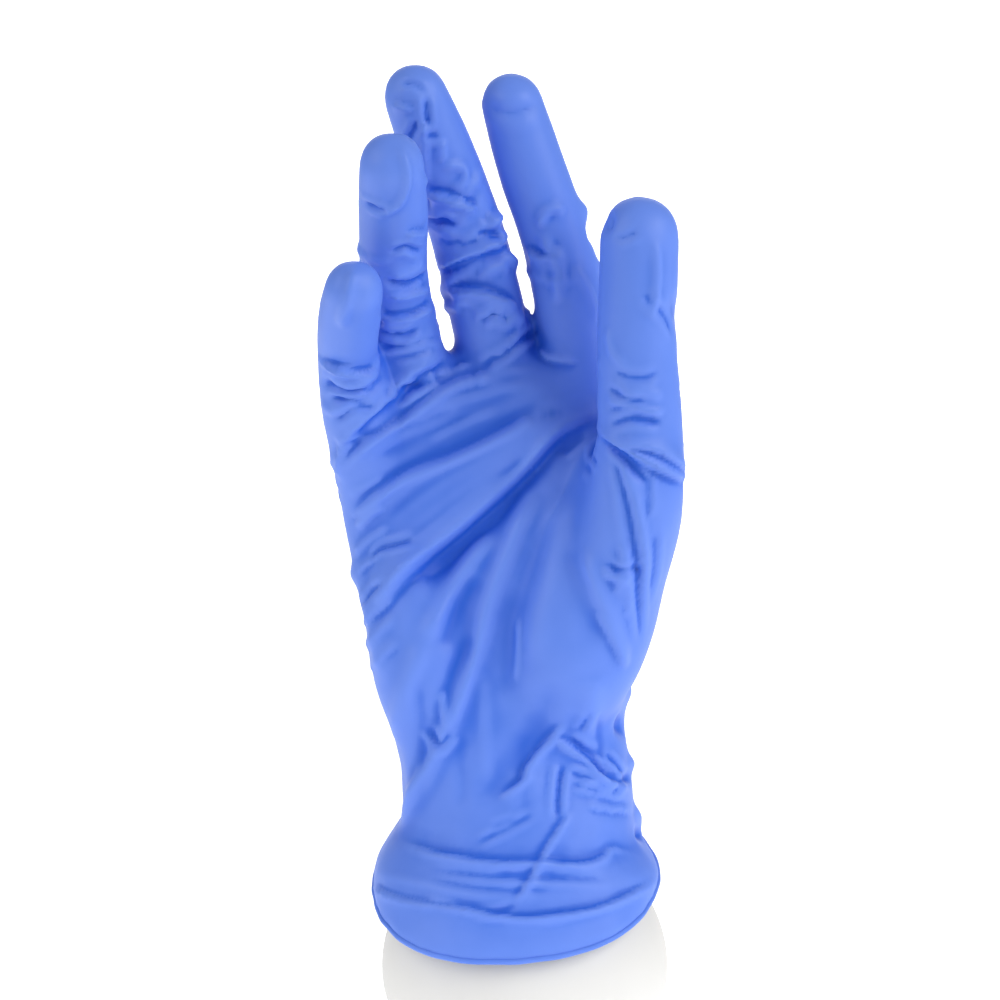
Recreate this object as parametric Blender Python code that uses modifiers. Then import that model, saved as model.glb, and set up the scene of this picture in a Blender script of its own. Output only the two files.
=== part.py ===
"""A disposable nitrile glove worn by a right-hand display form that turns on a weighted round foot.

The palm faces -Y and the fingers point up +Z. The origin is the middle of the non-slip pad's
underside, on the axis that the hand turns about. Sizes are in millimetres and are turned into
metres where a shape is made.
"""

import math

import bmesh
import bpy
from mathutils import Matrix, Vector

MM = 0.001
GAP = 0.3  # between pieces that touch on the real object

# The foot is a turned shell: a crown over its widest place and a shallower curve under it.
FOOT_RADIUS = 37.6
FOOT_WIDEST = 18.5  # height of the widest place
FOOT_UNDERCUT = 32.3  # drop of the lower ellipse below the widest place
FOOT_TOP = 47.0  # height of the flat top that the bush stands on
NECK_RADIUS = 22.86  # of the flat top, and of the wrist's underside on it
FOOT_LIP = 1.2  # height of the shell's lower edge above the ground
FOOT_WALL = 2.6
FOOT_TOP_WALL = 4.4
LEDGE_WIDTH = 1.6  # the inner ledge that the bottom plate closes against
LEDGE_THICKNESS = 1.5

# What closes and weights the foot.
PAD_THICKNESS = 2.0
PAD_INSET = 1.0  # how far the pad's edge stands inside the plate's
PLATE_RADIUS = 28.5
PLATE_THICKNESS = 3.2
BALLAST_THICKNESS = 22.0
BALLAST_BORE = 10.5
BALLAST_ROOM = 1.2  # between the weight and the bosses
BOSS_RADIUS = 3.6
BOSS_HEIGHT = 9.0
BOSS_EDGE = 0.4  # between a boss and the line of the plate's edge
BOSS_WEB_RADIUS = 2.9  # of the web that ties each boss to the wall
BOSS_WEB_OUT = 3.4  # how far outside its boss the web's middle is
SCREW_RADIUS = 1.5
SCREW_HEAD_RADIUS = 2.7
SCREW_HEAD_HEIGHT = 1.7
SCREW_LENGTH = 8.0
SCREW_HOLE_SPARE = 1.0  # depth of the hole past the screw's end
SCREW_POINT_LENGTH = 1.2
SCREW_POINT_RADIUS = 0.8
SCREW_HEAD_EDGE = 0.5
SCREW_FACE_RADIUS = 2.2
SCREW_DRIVE_RADIUS = 1.1  # the round recess for the driver
SCREW_DRIVE_DEPTH = 0.6
SCREW_COUNT = 3

# The pivot: a bolt from inside the foot, up through a flanged bush into the wrist.
BOLT_RADIUS = 4.0
BOLT_LENGTH = 20.0
BOLT_HEAD_FLATS = 13.0
BOLT_HEAD_HEIGHT = 5.3
BUSH_WALL = 2.6
BUSH_FLANGE_RADIUS = 12.0
BUSH_FLANGE_THICKNESS = 1.5
BUSH_PROUD = 0.4  # how far the flange stands out of its recess in the foot's top
WASHER_RADIUS = 9.0
WASHER_THICKNESS = 1.0
SPRING_WASHER_RADIUS = 7.6
SPRING_WASHER_RISE = 1.4
SPRING_WASHER_THICKNESS = 0.6
SPRING_WASHER_FLAT = 0.8  # width of its flat inner ring
INSERT_RADIUS = 6.5
INSERT_LENGTH = 14.0
TIP_ROOM = 1.5  # hollow past the bolt's end

# The glove film and how far it stands off the form.
GLOVE_FILM = 0.12
GLOVE_EASE = 1.15
CUFF_EASE = 1.8  # between the cuff and the foot that it hangs over
CUFF_SKIN_EASE = 0.3  # added all round, for what the smoothing draws in
CUFF_FRONT = 19.5  # how far under the foot's top the cuff's edge is at the palm side
CUFF_BACK = 10.5  # how far above the foot's top it is at the back of the hand
CUFF_BACK_EASE = 6.14  # how far behind the wrist's underside it hangs there
CUFF_SIDE_TILT = 0.07  # rise of the edge towards the thumb side, for each millimetre
# The loose cuff, from under its edge up to where it meets the palm: each section's height above
# the edge, how much of the foot's radius there it takes over, how far its two edges in X stand
# outside that, how much of the edge's front and back reach it has, and how much of its tilt.
CUFF_SECTIONS = (
    (-6.0, 1.0, 10.1, 5.9, 1.0, 1.0, 1.0),
    (0.0, 1.0, 10.1, 5.9, 1.0, 1.0, 1.0),
    (5.0, 1.0, 9.6, 5.6, 0.98, 0.97, 1.0),
    (9.5, 0.9, 11.5, 6.5, 0.90, 0.92, 0.9),
    (14.0, 0.7, 13.6, 9.8, 0.79, 0.86, 0.6),
    (20.0, 0.5, 18.5, 15.3, 0.70, 0.80, 0.2),
    (28.0, 0.3, 24.4, 19.5, 0.62, 0.74, 0.0),
    (38.0, 0.1, 31.9, 23.1, 0.53, 0.65, 0.0),
    (48.0, 0.0, 36.4, 26.0, 0.42, 0.56, 0.0),
)
PALM_FILM_FROM = 31.0  # height above the foot's top from which the film follows the palm

# The hand. All its heights are above the foot's top. Each digit is a chain of bones: their
# lengths, how far each leans sideways from upright (towards +X) and how far it bends towards the
# palm side, and the radius at each joint, from the root to the middle of the fingertip.
DIGITS = {
    "index": {
        "root": (17.5, 0.5, 111.0),
        "bones": (46.0, 26.5, 17.0),
        "lean": (-10.0, -18.0, -17.0),
        "bend": (4.0, 8.0, 9.0),
        "radii": (8.9, 7.9, 7.6, 6.8),
    },
    "middle": {
        "root": (-3.5, 1.5, 114.0),
        "bones": (47.0, 28.5, 16.0),
        "lean": (-12.5, -19.0, -21.0),
        "bend": (8.0, 17.0, 22.0),
        "radii": (9.0, 8.5, 8.1, 7.0),
    },
    "ring": {
        "root": (-24.0, 0.5, 107.0),
        "bones": (44.5, 28.5, 16.0),
        "lean": (-12.0, -1.0, 0.0),
        "bend": (19.0, 38.0, 44.0),
        "radii": (9.2, 7.6, 7.6, 7.0),
    },
    "little": {
        "root": (-38.0, -1.5, 96.0),
        "bones": (37.5, 20.5, 13.5),
        "lean": (-11.5, 2.0, 11.0),
        "bend": (27.0, 44.0, 52.0),
        "radii": (8.0, 6.7, 6.8, 6.2),
    },
    "thumb": {
        "root": (7.5, -6.0, 37.0),
        "bones": (64.0, 42.0, 27.5),
        "lean": (19.2, 0.0, 1.0),
        "bend": (14.5, 9.0, 6.0),
        "radii": (12.0, 10.3, 9.1, 8.8),
    },
}
# The palm and wrist: sections from the wrist up, each with its height, its two edges in X, its
# middle in Y and half its thickness.
PALM_SECTIONS = (
    (9.0, -28.0, 26.0, 0.0, 22.0),
    (15.0, -29.5, 25.0, 0.0, 19.5),
    (25.0, -30.3, 22.8, 0.0, 17.5),
    (37.0, -31.0, 23.0, 0.5, 15.5),
    (53.0, -36.6, 25.5, 1.0, 14.0),
    (71.0, -41.6, 26.5, 1.0, 13.0),
    (89.0, -45.5, 28.0, 1.0, 12.5),
    (105.0, -46.5, 28.0, 1.0, 12.0),
    (118.0, -41.0, 26.0, 0.0, 11.0),
    (126.0, -31.0, 22.0, -1.0, 9.0),
    (132.0, -24.0, 15.0, -2.0, 5.0),
)
# The two fleshy mounds of the palm and the web of the thumb: middle, half sizes and lean.
MOUNDS = {
    "thenar": {"middle": (15.5, -12.0, 65.0), "half": (15.5, 14.0, 34.0), "lean": 17.0},
    "thumb_web": {"middle": (24.0, -11.0, 88.0), "half": (11.0, 12.0, 26.0), "lean": 8.0},
    "hypothenar": {"middle": (-25.0, -6.5, 52.0), "half": (12.5, 12.0, 36.0), "lean": -10.0},
}
SECTION_POINTS = 40  # round one section of a loft
SECTION_SQUARENESS = 2.3  # 2 is an ellipse, more is squarer
SKIN_VOXEL = 1.25
SKIN_SMOOTHING = 60
FINGER_SMOOTHING = 0.12  # the share of that smoothing that the fingers get
FINGERS_FROM = 143.0  # height above the foot's top from which they get only that share
FINGERS_FADE = 30.0  # the height below it over which the share falls
THUMB_FROM = 24.0  # how far to the palm side the thumb starts to get that share
THUMB_FADE = 8.0
FORM_TRIANGLES = 3000
FILM_TRIANGLES = 2800  # one side of the glove film
TURN_STEPS = 48
SCREW_STEPS = 16
CUT_PAST = 1.0  # how far a cutter reaches past what it cuts

COLOURS = {
    "film": ((0.105, 0.235, 0.82), 0.42, 0.0),
    "form_white": ((0.80, 0.80, 0.77), 0.55, 0.0),
    "nylon": ((0.86, 0.85, 0.80), 0.45, 0.0),
    "zinc": ((0.62, 0.63, 0.64), 0.35, 1.0),
    "brass": ((0.78, 0.60, 0.28), 0.35, 1.0),
    "iron": ((0.16, 0.16, 0.17), 0.75, 0.4),
    "board": ((0.12, 0.12, 0.13), 0.6, 0.0),
    "rubber": ((0.045, 0.045, 0.05), 0.85, 0.0),
}


def clear_scene():
    for old in list(bpy.data.objects):
        bpy.data.objects.remove(old)


def new_collection(name):
    made = bpy.data.collections.new(name)
    bpy.context.scene.collection.children.link(made)
    return made


def material(name):
    """One finish, made once and shared."""
    made = bpy.data.materials.get(name)
    if made is None:
        colour, roughness, metallic = COLOURS[name]
        made = bpy.data.materials.new(name)
        made.use_nodes = True
        shader = made.node_tree.nodes["Principled BSDF"]
        shader.inputs["Base Color"].default_value = (*colour, 1.0)
        shader.inputs["Roughness"].default_value = roughness
        shader.inputs["Metallic"].default_value = metallic
    return made


def place(name, mesh, finish, collection):
    """An object for one sub-part, shaded smooth with sharp edges kept."""
    mesh.shade_smooth()
    mesh.set_sharp_from_angle(angle=math.radians(40))
    mesh.materials.clear()
    mesh.materials.append(material(finish))
    part = bpy.data.objects.new(name, mesh)
    collection.objects.link(part)
    return part


def helper(name, mesh, collection):
    """A cutter or a guide: shown as wires and left out of the build."""
    part = bpy.data.objects.new(name, mesh)
    collection.objects.link(part)
    part.hide_render = True
    part.display_type = "WIRE"
    return part


def evaluated_mesh(part):
    """The part's mesh with its modifiers applied."""
    bpy.context.view_layer.update()
    graph = bpy.context.evaluated_depsgraph_get()
    return bpy.data.meshes.new_from_object(part.evaluated_get(graph))


def turned(name, profile, steps=TURN_STEPS, ring=True):
    """A profile of (radius, height) pairs, from the top outwards and down, turned about Z.

    A ring's profile closes on itself. Any other starts and ends on the axis.
    """
    mesh = bpy.data.meshes.new(name)
    shape = bmesh.new()
    corners = [shape.verts.new((r * MM, 0, z * MM)) for r, z in profile]
    for here, there in zip(corners, corners[1:] + corners[:1] if ring else corners[1:]):
        shape.edges.new((here, there))
    shape.to_mesh(mesh)
    shape.free()
    part = bpy.data.objects.new(name, mesh)
    bpy.context.scene.collection.objects.link(part)
    screw = part.modifiers.new("turn", "SCREW")
    screw.steps = screw.render_steps = steps
    screw.use_merge_vertices = True
    screw.merge_threshold = 0.00001
    made = evaluated_mesh(part)
    made.name = name
    bpy.data.objects.remove(part)
    return made


def ring_profile(outer, inner, low, high):
    return [(inner, high), (outer, high), (outer, low), (inner, low)]


def cylinder(radius, low, high, x=0.0, y=0.0, sides=32):
    """A plain round bar between two heights, as a mesh."""
    mesh = bpy.data.meshes.new("bar")
    shape = bmesh.new()
    middle = Matrix.Translation(Vector((x, y, (low + high) / 2)) * MM)
    bmesh.ops.create_cone(
        shape,
        cap_ends=True,
        segments=sides,
        radius1=radius * MM,
        radius2=radius * MM,
        depth=(high - low) * MM,
        matrix=middle,
    )
    shape.to_mesh(mesh)
    shape.free()
    return mesh


def combine(part, other, operation):
    """Adds one Boolean step to the part."""
    step = part.modifiers.new(operation.lower(), "BOOLEAN")
    step.operation = operation
    step.object = other
    step.solver = "EXACT"


def applied(part):
    """The part with its modifiers made into mesh."""
    mesh = evaluated_mesh(part)
    part.modifiers.clear()
    part.data = mesh
    return part


# ---- The foot -------------------------------------------------------------------------------


# Rise of the crown's ellipse above the widest place, which takes it through the top's edge.
FOOT_CROWN = (FOOT_TOP - FOOT_WIDEST) / math.sqrt(1 - (NECK_RADIUS / FOOT_RADIUS) ** 2)


def foot_radius_at(height, inset=0.0):
    """The foot's outer radius at a height, or that of a surface a wall's thickness inside it."""
    rise = height - FOOT_WIDEST
    reach = (FOOT_CROWN if rise > 0 else FOOT_UNDERCUT) - inset
    return (FOOT_RADIUS - inset) * math.sqrt(max(0.0, 1 - (rise / reach) ** 2))


PAD_TOP = PAD_THICKNESS
PLATE_LOW = PAD_TOP + GAP
PLATE_HIGH = PLATE_LOW + PLATE_THICKNESS
LEDGE = PLATE_HIGH + GAP
CEILING = FOOT_TOP - FOOT_TOP_WALL
FLANGE_LOW = FOOT_TOP + BUSH_PROUD - BUSH_FLANGE_THICKNESS
BOSS_RING = PLATE_RADIUS - BOSS_RADIUS - BOSS_EDGE  # radius of the circle that the bosses stand on
BUSH_RADIUS = BOLT_RADIUS + GAP + BUSH_WALL
BUSH_TOP = FOOT_TOP + BUSH_PROUD
HAND_BASE = BUSH_TOP + GAP  # underside of the wrist
NECK_SPARE = 6.0  # how far the wrist's sections start under its underside
SCREW_ANGLES = [math.radians(90 + 360 * n / SCREW_COUNT) for n in range(SCREW_COUNT)]


def curve_heights(low, high, count):
    return [low + (high - low) * n / count for n in range(count + 1)]


def foot_profile():
    """The shell's section: over the top, down the outside, round the lip and up the inside."""
    bore = BUSH_RADIUS + GAP
    seat = BUSH_FLANGE_RADIUS + GAP
    outside = [(foot_radius_at(z), z) for z in reversed(curve_heights(FOOT_LIP, FOOT_TOP, 12))]
    recess = PLATE_RADIUS + GAP
    throat = recess - LEDGE_WIDTH
    inner_low = LEDGE + LEDGE_THICKNESS
    inside = [(foot_radius_at(z, FOOT_WALL), z) for z in curve_heights(inner_low, CEILING, 7)]
    return (
        [(bore, FLANGE_LOW - GAP), (seat, FLANGE_LOW - GAP), (seat, FOOT_TOP)]
        + outside
        + [(recess, FOOT_LIP), (recess, LEDGE), (throat, LEDGE), (throat, inner_low)]
        + inside
        + [(bore, CEILING)]
    )


def on_screw_circle(angle, out=0.0):
    radius = BOSS_RING + out
    return radius * math.cos(angle), radius * math.sin(angle)


def make_foot(parts, tools):
    shell = place("foot_shell", turned("foot_shell", foot_profile()), "form_white", parts)
    for n, angle in enumerate(SCREW_ANGLES, 1):
        x, y = on_screw_circle(angle)
        boss = cylinder(BOSS_RADIUS, LEDGE, LEDGE + BOSS_HEIGHT, x, y, 24)
        combine(shell, helper(f"boss_{n}", boss, tools), "UNION")
        web_x, web_y = on_screw_circle(angle, BOSS_WEB_OUT)
        web = cylinder(BOSS_WEB_RADIUS, LEDGE, LEDGE + BOSS_HEIGHT, web_x, web_y, 24)
        combine(shell, helper(f"boss_web_{n}", web, tools), "UNION")
        hole_low, hole_high = LEDGE - CUT_PAST, LEDGE + SCREW_LENGTH
        hole = cylinder(SCREW_RADIUS + GAP, hole_low, hole_high, x, y, 20)
        combine(shell, helper(f"boss_hole_{n}", hole, tools), "DIFFERENCE")
    applied(shell)
    finish_edges(shell)

    pad = cylinder(PLATE_RADIUS - PAD_INSET, 0.0, PAD_TOP, sides=TURN_STEPS)
    place("foot_pad", pad, "rubber", parts)

    plate_mesh = cylinder(PLATE_RADIUS, PLATE_LOW, PLATE_HIGH, sides=TURN_STEPS)
    plate = place("bottom_plate", plate_mesh, "board", parts)
    head_room = SCREW_HEAD_HEIGHT + GAP
    for n, angle in enumerate(SCREW_ANGLES, 1):
        x, y = on_screw_circle(angle)
        low, high = PLATE_LOW - CUT_PAST, PLATE_HIGH + CUT_PAST
        through = cylinder(SCREW_RADIUS + GAP, low, high, x, y, 20)
        sunk = cylinder(SCREW_HEAD_RADIUS + GAP, low, PLATE_LOW + head_room, x, y, 24)
        combine(plate, helper(f"plate_hole_{n}", through, tools), "DIFFERENCE")
        combine(plate, helper(f"plate_sink_{n}", sunk, tools), "DIFFERENCE")
        place(f"plate_screw_{n}", screw_mesh(x, y), "zinc", parts)
    applied(plate)
    finish_edges(plate)

    ballast_radius = BOSS_RING - BOSS_RADIUS - BALLAST_ROOM
    low = PLATE_HIGH + GAP
    ballast = ring_profile(ballast_radius, BALLAST_BORE, low, low + BALLAST_THICKNESS)
    place("ballast_weight", turned("ballast_weight", ballast), "iron", parts)


def finish_edges(part):
    """Restores the shading of a part after its Booleans."""
    part.data.shade_smooth()
    part.data.set_sharp_from_angle(angle=math.radians(40))


def screw_mesh(x, y):
    """A pan-head screw, head down, turned about its own axis and moved to its place."""
    seat = PLATE_LOW + GAP / 2
    shoulder = seat + SCREW_HEAD_HEIGHT
    end = LEDGE + SCREW_LENGTH - SCREW_HOLE_SPARE
    profile = [
        (0.0, end),
        (SCREW_POINT_RADIUS, end),
        (SCREW_RADIUS, end - SCREW_POINT_LENGTH),
        (SCREW_RADIUS, shoulder),
        (SCREW_HEAD_RADIUS, shoulder),
        (SCREW_HEAD_RADIUS, seat + SCREW_HEAD_EDGE),
        (SCREW_FACE_RADIUS, seat),
        (SCREW_DRIVE_RADIUS, seat),
        (SCREW_DRIVE_RADIUS, seat + SCREW_DRIVE_DEPTH),
        (0.0, seat + SCREW_DRIVE_DEPTH),
    ]
    mesh = turned("plate_screw", profile, SCREW_STEPS, ring=False)
    mesh.transform(Matrix.Translation(Vector((x, y, 0)) * MM))
    return mesh


# ---- The pivot ------------------------------------------------------------------------------


def make_pivot(parts, tools):
    """The bush, the washers and the bolt. It returns the height of the bolt's end."""
    bore = BOLT_RADIUS + GAP
    bush = [
        (bore, BUSH_TOP),
        (BUSH_FLANGE_RADIUS, BUSH_TOP),
        (BUSH_FLANGE_RADIUS, FLANGE_LOW),
        (BUSH_RADIUS, FLANGE_LOW),
        (BUSH_RADIUS, CEILING),
        (bore, CEILING),
    ]
    place("pivot_bush", turned("pivot_bush", bush), "nylon", parts)

    washer_high = CEILING - GAP
    washer_low = washer_high - WASHER_THICKNESS
    washer = ring_profile(WASHER_RADIUS, bore, washer_low, washer_high)
    place("pivot_washer", turned("pivot_washer", washer), "zinc", parts)

    # A dished spring washer keeps the turning hand snug.
    spring_high = washer_low - GAP
    spring_low = spring_high - SPRING_WASHER_RISE
    dished = [
        (bore, spring_high),
        (bore + SPRING_WASHER_FLAT, spring_high),
        (SPRING_WASHER_RADIUS, spring_low + SPRING_WASHER_THICKNESS),
        (SPRING_WASHER_RADIUS, spring_low),
        (bore, spring_high - SPRING_WASHER_THICKNESS),
    ]
    place("spring_washer", turned("spring_washer", dished), "zinc", parts)

    head_high = spring_low - GAP
    head_low = head_high - BOLT_HEAD_HEIGHT
    head = cylinder(BOLT_HEAD_FLATS / math.sqrt(3), head_low, head_high, sides=6)
    bolt = place("pivot_bolt", head, "zinc", parts)
    end = head_high + BOLT_LENGTH
    shank = cylinder(BOLT_RADIUS, head_high - CUT_PAST, end, sides=32)
    combine(bolt, helper("bolt_shank", shank, tools), "UNION")
    applied(bolt)
    finish_edges(bolt)
    return end


# ---- The hand -------------------------------------------------------------------------------


def digit_joints(digit):
    """The joints of a digit in millimetres, from its root to the middle of its tip."""
    point = Vector(digit["root"]) + Vector((0, 0, FOOT_TOP))
    joints = [point.copy()]
    for length, lean, bend in zip(digit["bones"], digit["lean"], digit["bend"]):
        lean, bend = math.radians(lean), math.radians(bend)
        along = Vector(
            (math.sin(lean) * math.cos(bend), -math.sin(bend), math.cos(lean) * math.cos(bend))
        )
        point = point + along * length
        joints.append(point.copy())
    return joints


def smooth_path(points, per_span):
    """Points on a Catmull-Rom curve through the given ones. Each is a Vector of any size."""
    padded = [points[0] * 2 - points[1]] + list(points) + [points[-1] * 2 - points[-2]]
    path = []
    for a, b, c, d in zip(padded, padded[1:], padded[2:], padded[3:]):
        for n in range(per_span):
            t = n / per_span
            path.append(
                0.5 * (2 * b + (c - a) * t + (2 * a - 5 * b + 4 * c - d) * t**2
                       + (3 * b - a - 3 * c + d) * t**3)
            )
    return path + [points[-1].copy()]


def digit_mesh(name, digit, ease):
    """A bevelled curve along the bones, swelling at the joints, with a domed tip."""
    joints = digit_joints(digit)
    path = smooth_path([Vector((*j, r)) for j, r in zip(joints, digit["radii"])], 6)
    places = [(p.xyz, p.w + ease) for p in path]
    middle, radius = places[-1]
    along = (middle - places[-2][0]).normalized()
    for n in range(1, 7):  # the dome, a quarter of a circle of rings
        turn = math.radians(90 * n / 6)
        dome = max(radius * math.cos(turn), 0.05)
        places.append((middle + along * radius * math.sin(turn), dome))
    curve = bpy.data.curves.new(name, "CURVE")
    curve.dimensions = "3D"
    curve.bevel_depth = MM
    curve.bevel_resolution = 6
    curve.use_fill_caps = True
    spline = curve.splines.new("POLY")
    spline.points.add(len(places) - 1)
    for knot, (point, radius) in zip(spline.points, places):
        knot.co = (*(point * MM), 1.0)
        knot.radius = radius
    part = bpy.data.objects.new(name, curve)
    bpy.context.scene.collection.objects.link(part)
    mesh = evaluated_mesh(part)
    bpy.data.objects.remove(part)
    weld(mesh)
    return mesh


def weld(mesh):
    shape = bmesh.new()
    shape.from_mesh(mesh)
    bmesh.ops.remove_doubles(shape, verts=shape.verts, dist=0.00001)
    shape.to_mesh(mesh)
    shape.free()


def section_ring(shape, height, left, right, middle, half, tilt=0.0, side=0.0):
    """One closed section: a superellipse between two edges. tilt raises it towards +Y and side
    towards +X."""
    ring = []
    for n in range(SECTION_POINTS):
        turn = 2 * math.pi * n / SECTION_POINTS
        c, s = math.cos(turn), math.sin(turn)
        power = 2 / SECTION_SQUARENESS
        x = (left + right) / 2 + (right - left) / 2 * math.copysign(abs(c) ** power, c)
        y = middle + half * math.copysign(abs(s) ** power, s)
        ring.append(shape.verts.new(Vector((x, y, height + tilt * y + side * x)) * MM))
    return ring


def loft_mesh(name, sections):
    """A closed solid through sections of unlike shape, lowest first."""
    mesh = bpy.data.meshes.new(name)
    shape = bmesh.new()
    rings = [section_ring(shape, *section) for section in sections]
    for low, high in zip(rings, rings[1:]):
        for n in range(SECTION_POINTS):
            m = (n + 1) % SECTION_POINTS
            shape.faces.new((low[n], low[m], high[m], high[n]))
    shape.faces.new(list(reversed(rings[0])))
    shape.faces.new(rings[-1])
    shape.to_mesh(mesh)
    shape.free()
    return mesh


def raised(sections):
    """Sections whose heights are above the foot's top, with their heights above the ground."""
    return [(FOOT_TOP + height, *rest) for height, *rest in sections]


def eased(section, ease):
    height, left, right, middle, half, *rest = section
    return (height, left - ease, right + ease, middle, half + ease, *rest)


def mound_mesh(mound, ease):
    mesh = bpy.data.meshes.new("mound")
    shape = bmesh.new()
    size = Vector(mound["half"]) + Vector((ease, ease, ease))
    at = (
        Matrix.Translation((Vector(mound["middle"]) + Vector((0, 0, FOOT_TOP))) * MM)
        @ Matrix.Rotation(math.radians(mound["lean"]), 4, "Y")
        @ Matrix.Diagonal((*(size * MM), 1.0))
    )
    bmesh.ops.create_uvsphere(shape, u_segments=32, v_segments=20, radius=1.0, matrix=at)
    shape.to_mesh(mesh)
    shape.free()
    return mesh


def palm_sections(ease):
    """The palm's own sections, with the wrist as round as the foot's top below them.

    They start under the wrist's level underside, which is cut after the smoothing.
    """
    neck = [
        (height, -NECK_RADIUS, NECK_RADIUS, 0.0, NECK_RADIUS)
        for height in (HAND_BASE - NECK_SPARE, HAND_BASE)
    ]
    return [eased(s, ease) for s in neck + raised(PALM_SECTIONS)]


def softness(point):
    """How much of the smoothing a point gets: all of it in the palm, little in the digits."""
    fingers = (point.z - FOOT_TOP - FINGERS_FROM + FINGERS_FADE) / FINGERS_FADE
    thumb = (-point.y - THUMB_FROM) / THUMB_FADE
    hard = min(1.0, max(0.0, fingers, thumb))
    return 1.0 + (FINGER_SMOOTHING - 1.0) * hard


def skin(name, meshes, triangles):
    """One smooth skin round all the given solids, brought down to a number of triangles."""
    joined = bmesh.new()
    for mesh in meshes:
        joined.from_mesh(mesh)
    mesh = bpy.data.meshes.new(name)
    joined.to_mesh(mesh)
    joined.free()
    part = bpy.data.objects.new(name, mesh)
    bpy.context.scene.collection.objects.link(part)
    remesh = part.modifiers.new("one_skin", "REMESH")
    remesh.mode = "VOXEL"
    remesh.voxel_size = SKIN_VOXEL * MM
    applied(part)
    share = part.vertex_groups.new(name="softness")
    for vertex in part.data.vertices:
        share.add([vertex.index], softness(vertex.co / MM), "REPLACE")
    relax = part.modifiers.new("relax", "SMOOTH")
    relax.factor = 0.5
    relax.iterations = SKIN_SMOOTHING
    relax.vertex_group = share.name
    applied(part)
    quads = len(part.data.polygons)
    thin = part.modifiers.new("thin_out", "DECIMATE")
    thin.ratio = triangles / (2 * quads)
    applied(part)
    mesh = part.data
    bpy.data.objects.remove(part)
    return mesh


def hand_solids(ease):
    solids = [digit_mesh(name, digit, ease) for name, digit in DIGITS.items()]
    solids += [mound_mesh(mound, ease) for mound in MOUNDS.values()]
    return solids


def cut_level(mesh, point, normal, fill):
    """Cuts away what lies on the normal's side of a plane."""
    shape = bmesh.new()
    shape.from_mesh(mesh)
    everything = shape.verts[:] + shape.edges[:] + shape.faces[:]
    cut = bmesh.ops.bisect_plane(
        shape,
        geom=everything,
        plane_co=point,
        plane_no=normal,
        clear_outer=True,
        dist=0.000001,
    )
    if fill:
        edges = [e for e in cut["geom_cut"] if isinstance(e, bmesh.types.BMEdge)]
        bmesh.ops.contextual_create(shape, geom=edges)
    shape.to_mesh(mesh)
    shape.free()


def make_hand(parts, tools, bolt_end):
    solids = hand_solids(0.0) + [loft_mesh("palm", palm_sections(0.0))]
    mesh = skin("hand_form", solids, FORM_TRIANGLES)
    cut_level(mesh, Vector((0, 0, HAND_BASE)) * MM, (0, 0, -1), fill=True)
    form = place("hand_form", mesh, "form_white", parts)
    pocket_high = HAND_BASE + INSERT_LENGTH + 2 * GAP
    pocket = cylinder(INSERT_RADIUS + GAP, HAND_BASE - CUT_PAST, pocket_high, sides=40)
    combine(form, helper("insert_pocket", pocket, tools), "DIFFERENCE")
    tip_high = max(bolt_end, pocket_high) + TIP_ROOM
    tip_room = cylinder(BOLT_RADIUS + GAP, HAND_BASE, tip_high, sides=32)
    combine(form, helper("bolt_tip_room", tip_room, tools), "DIFFERENCE")
    applied(form)
    finish_edges(form)

    insert_low = HAND_BASE + GAP
    insert = ring_profile(
        INSERT_RADIUS, BOLT_RADIUS + GAP, insert_low, insert_low + INSERT_LENGTH
    )
    place("wrist_insert", turned("wrist_insert", insert), "brass", parts)


# ---- The glove ------------------------------------------------------------------------------


CUFF_FRONT_REACH = foot_radius_at(FOOT_TOP - CUFF_FRONT) + CUFF_EASE
CUFF_BACK_REACH = NECK_RADIUS + CUFF_BACK_EASE
CUFF_TILT = (CUFF_BACK + CUFF_FRONT) / (CUFF_FRONT_REACH + CUFF_BACK_REACH)
# Height of the edge over the axis, and the foot's radius there.
CUFF_MIDDLE = FOOT_TOP - CUFF_FRONT + CUFF_TILT * CUFF_FRONT_REACH
FOOT_AT_CUFF = foot_radius_at(CUFF_MIDDLE)


def cuff_sections():
    """The cuff's sections. Its edge hangs over the foot, lowest at the palm side."""
    sections = []
    for rise, foot_share, left_out, right_out, front_share, back_share, tilt_share in CUFF_SECTIONS:
        left = -(FOOT_AT_CUFF * foot_share + left_out)
        right = FOOT_AT_CUFF * foot_share + right_out
        front = -CUFF_FRONT_REACH * front_share
        back = CUFF_BACK_REACH * back_share
        middle, half = (front + back) / 2, (back - front) / 2
        tilts = (CUFF_TILT * tilt_share, CUFF_SIDE_TILT * tilt_share)
        sections.append((CUFF_MIDDLE + rise, left, right, middle, half, *tilts))
    return sections


def make_glove(parts):
    palm = [s for s in raised(PALM_SECTIONS) if s[0] > FOOT_TOP + PALM_FILM_FROM]
    solids = hand_solids(GLOVE_EASE)
    solids.append(loft_mesh("glove_palm", [eased(s, GLOVE_EASE) for s in palm]))
    solids.append(loft_mesh("glove_cuff", [eased(s, CUFF_SKIN_EASE) for s in cuff_sections()]))
    mesh = skin("glove", solids, FILM_TRIANGLES)
    cut_level(mesh, Vector((0, 0, CUFF_MIDDLE)) * MM, (CUFF_SIDE_TILT, CUFF_TILT, -1), fill=False)
    glove = place("glove", mesh, "film", parts)
    film = glove.modifiers.new("film", "SOLIDIFY")
    film.thickness = GLOVE_FILM * MM
    film.offset = 1.0


def main():
    clear_scene()
    parts = new_collection("gloved_display_hand")
    tools = new_collection("cutters")
    make_foot(parts, tools)
    bolt_end = make_pivot(parts, tools)
    make_hand(parts, tools, bolt_end)
    make_glove(parts)


main()
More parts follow.
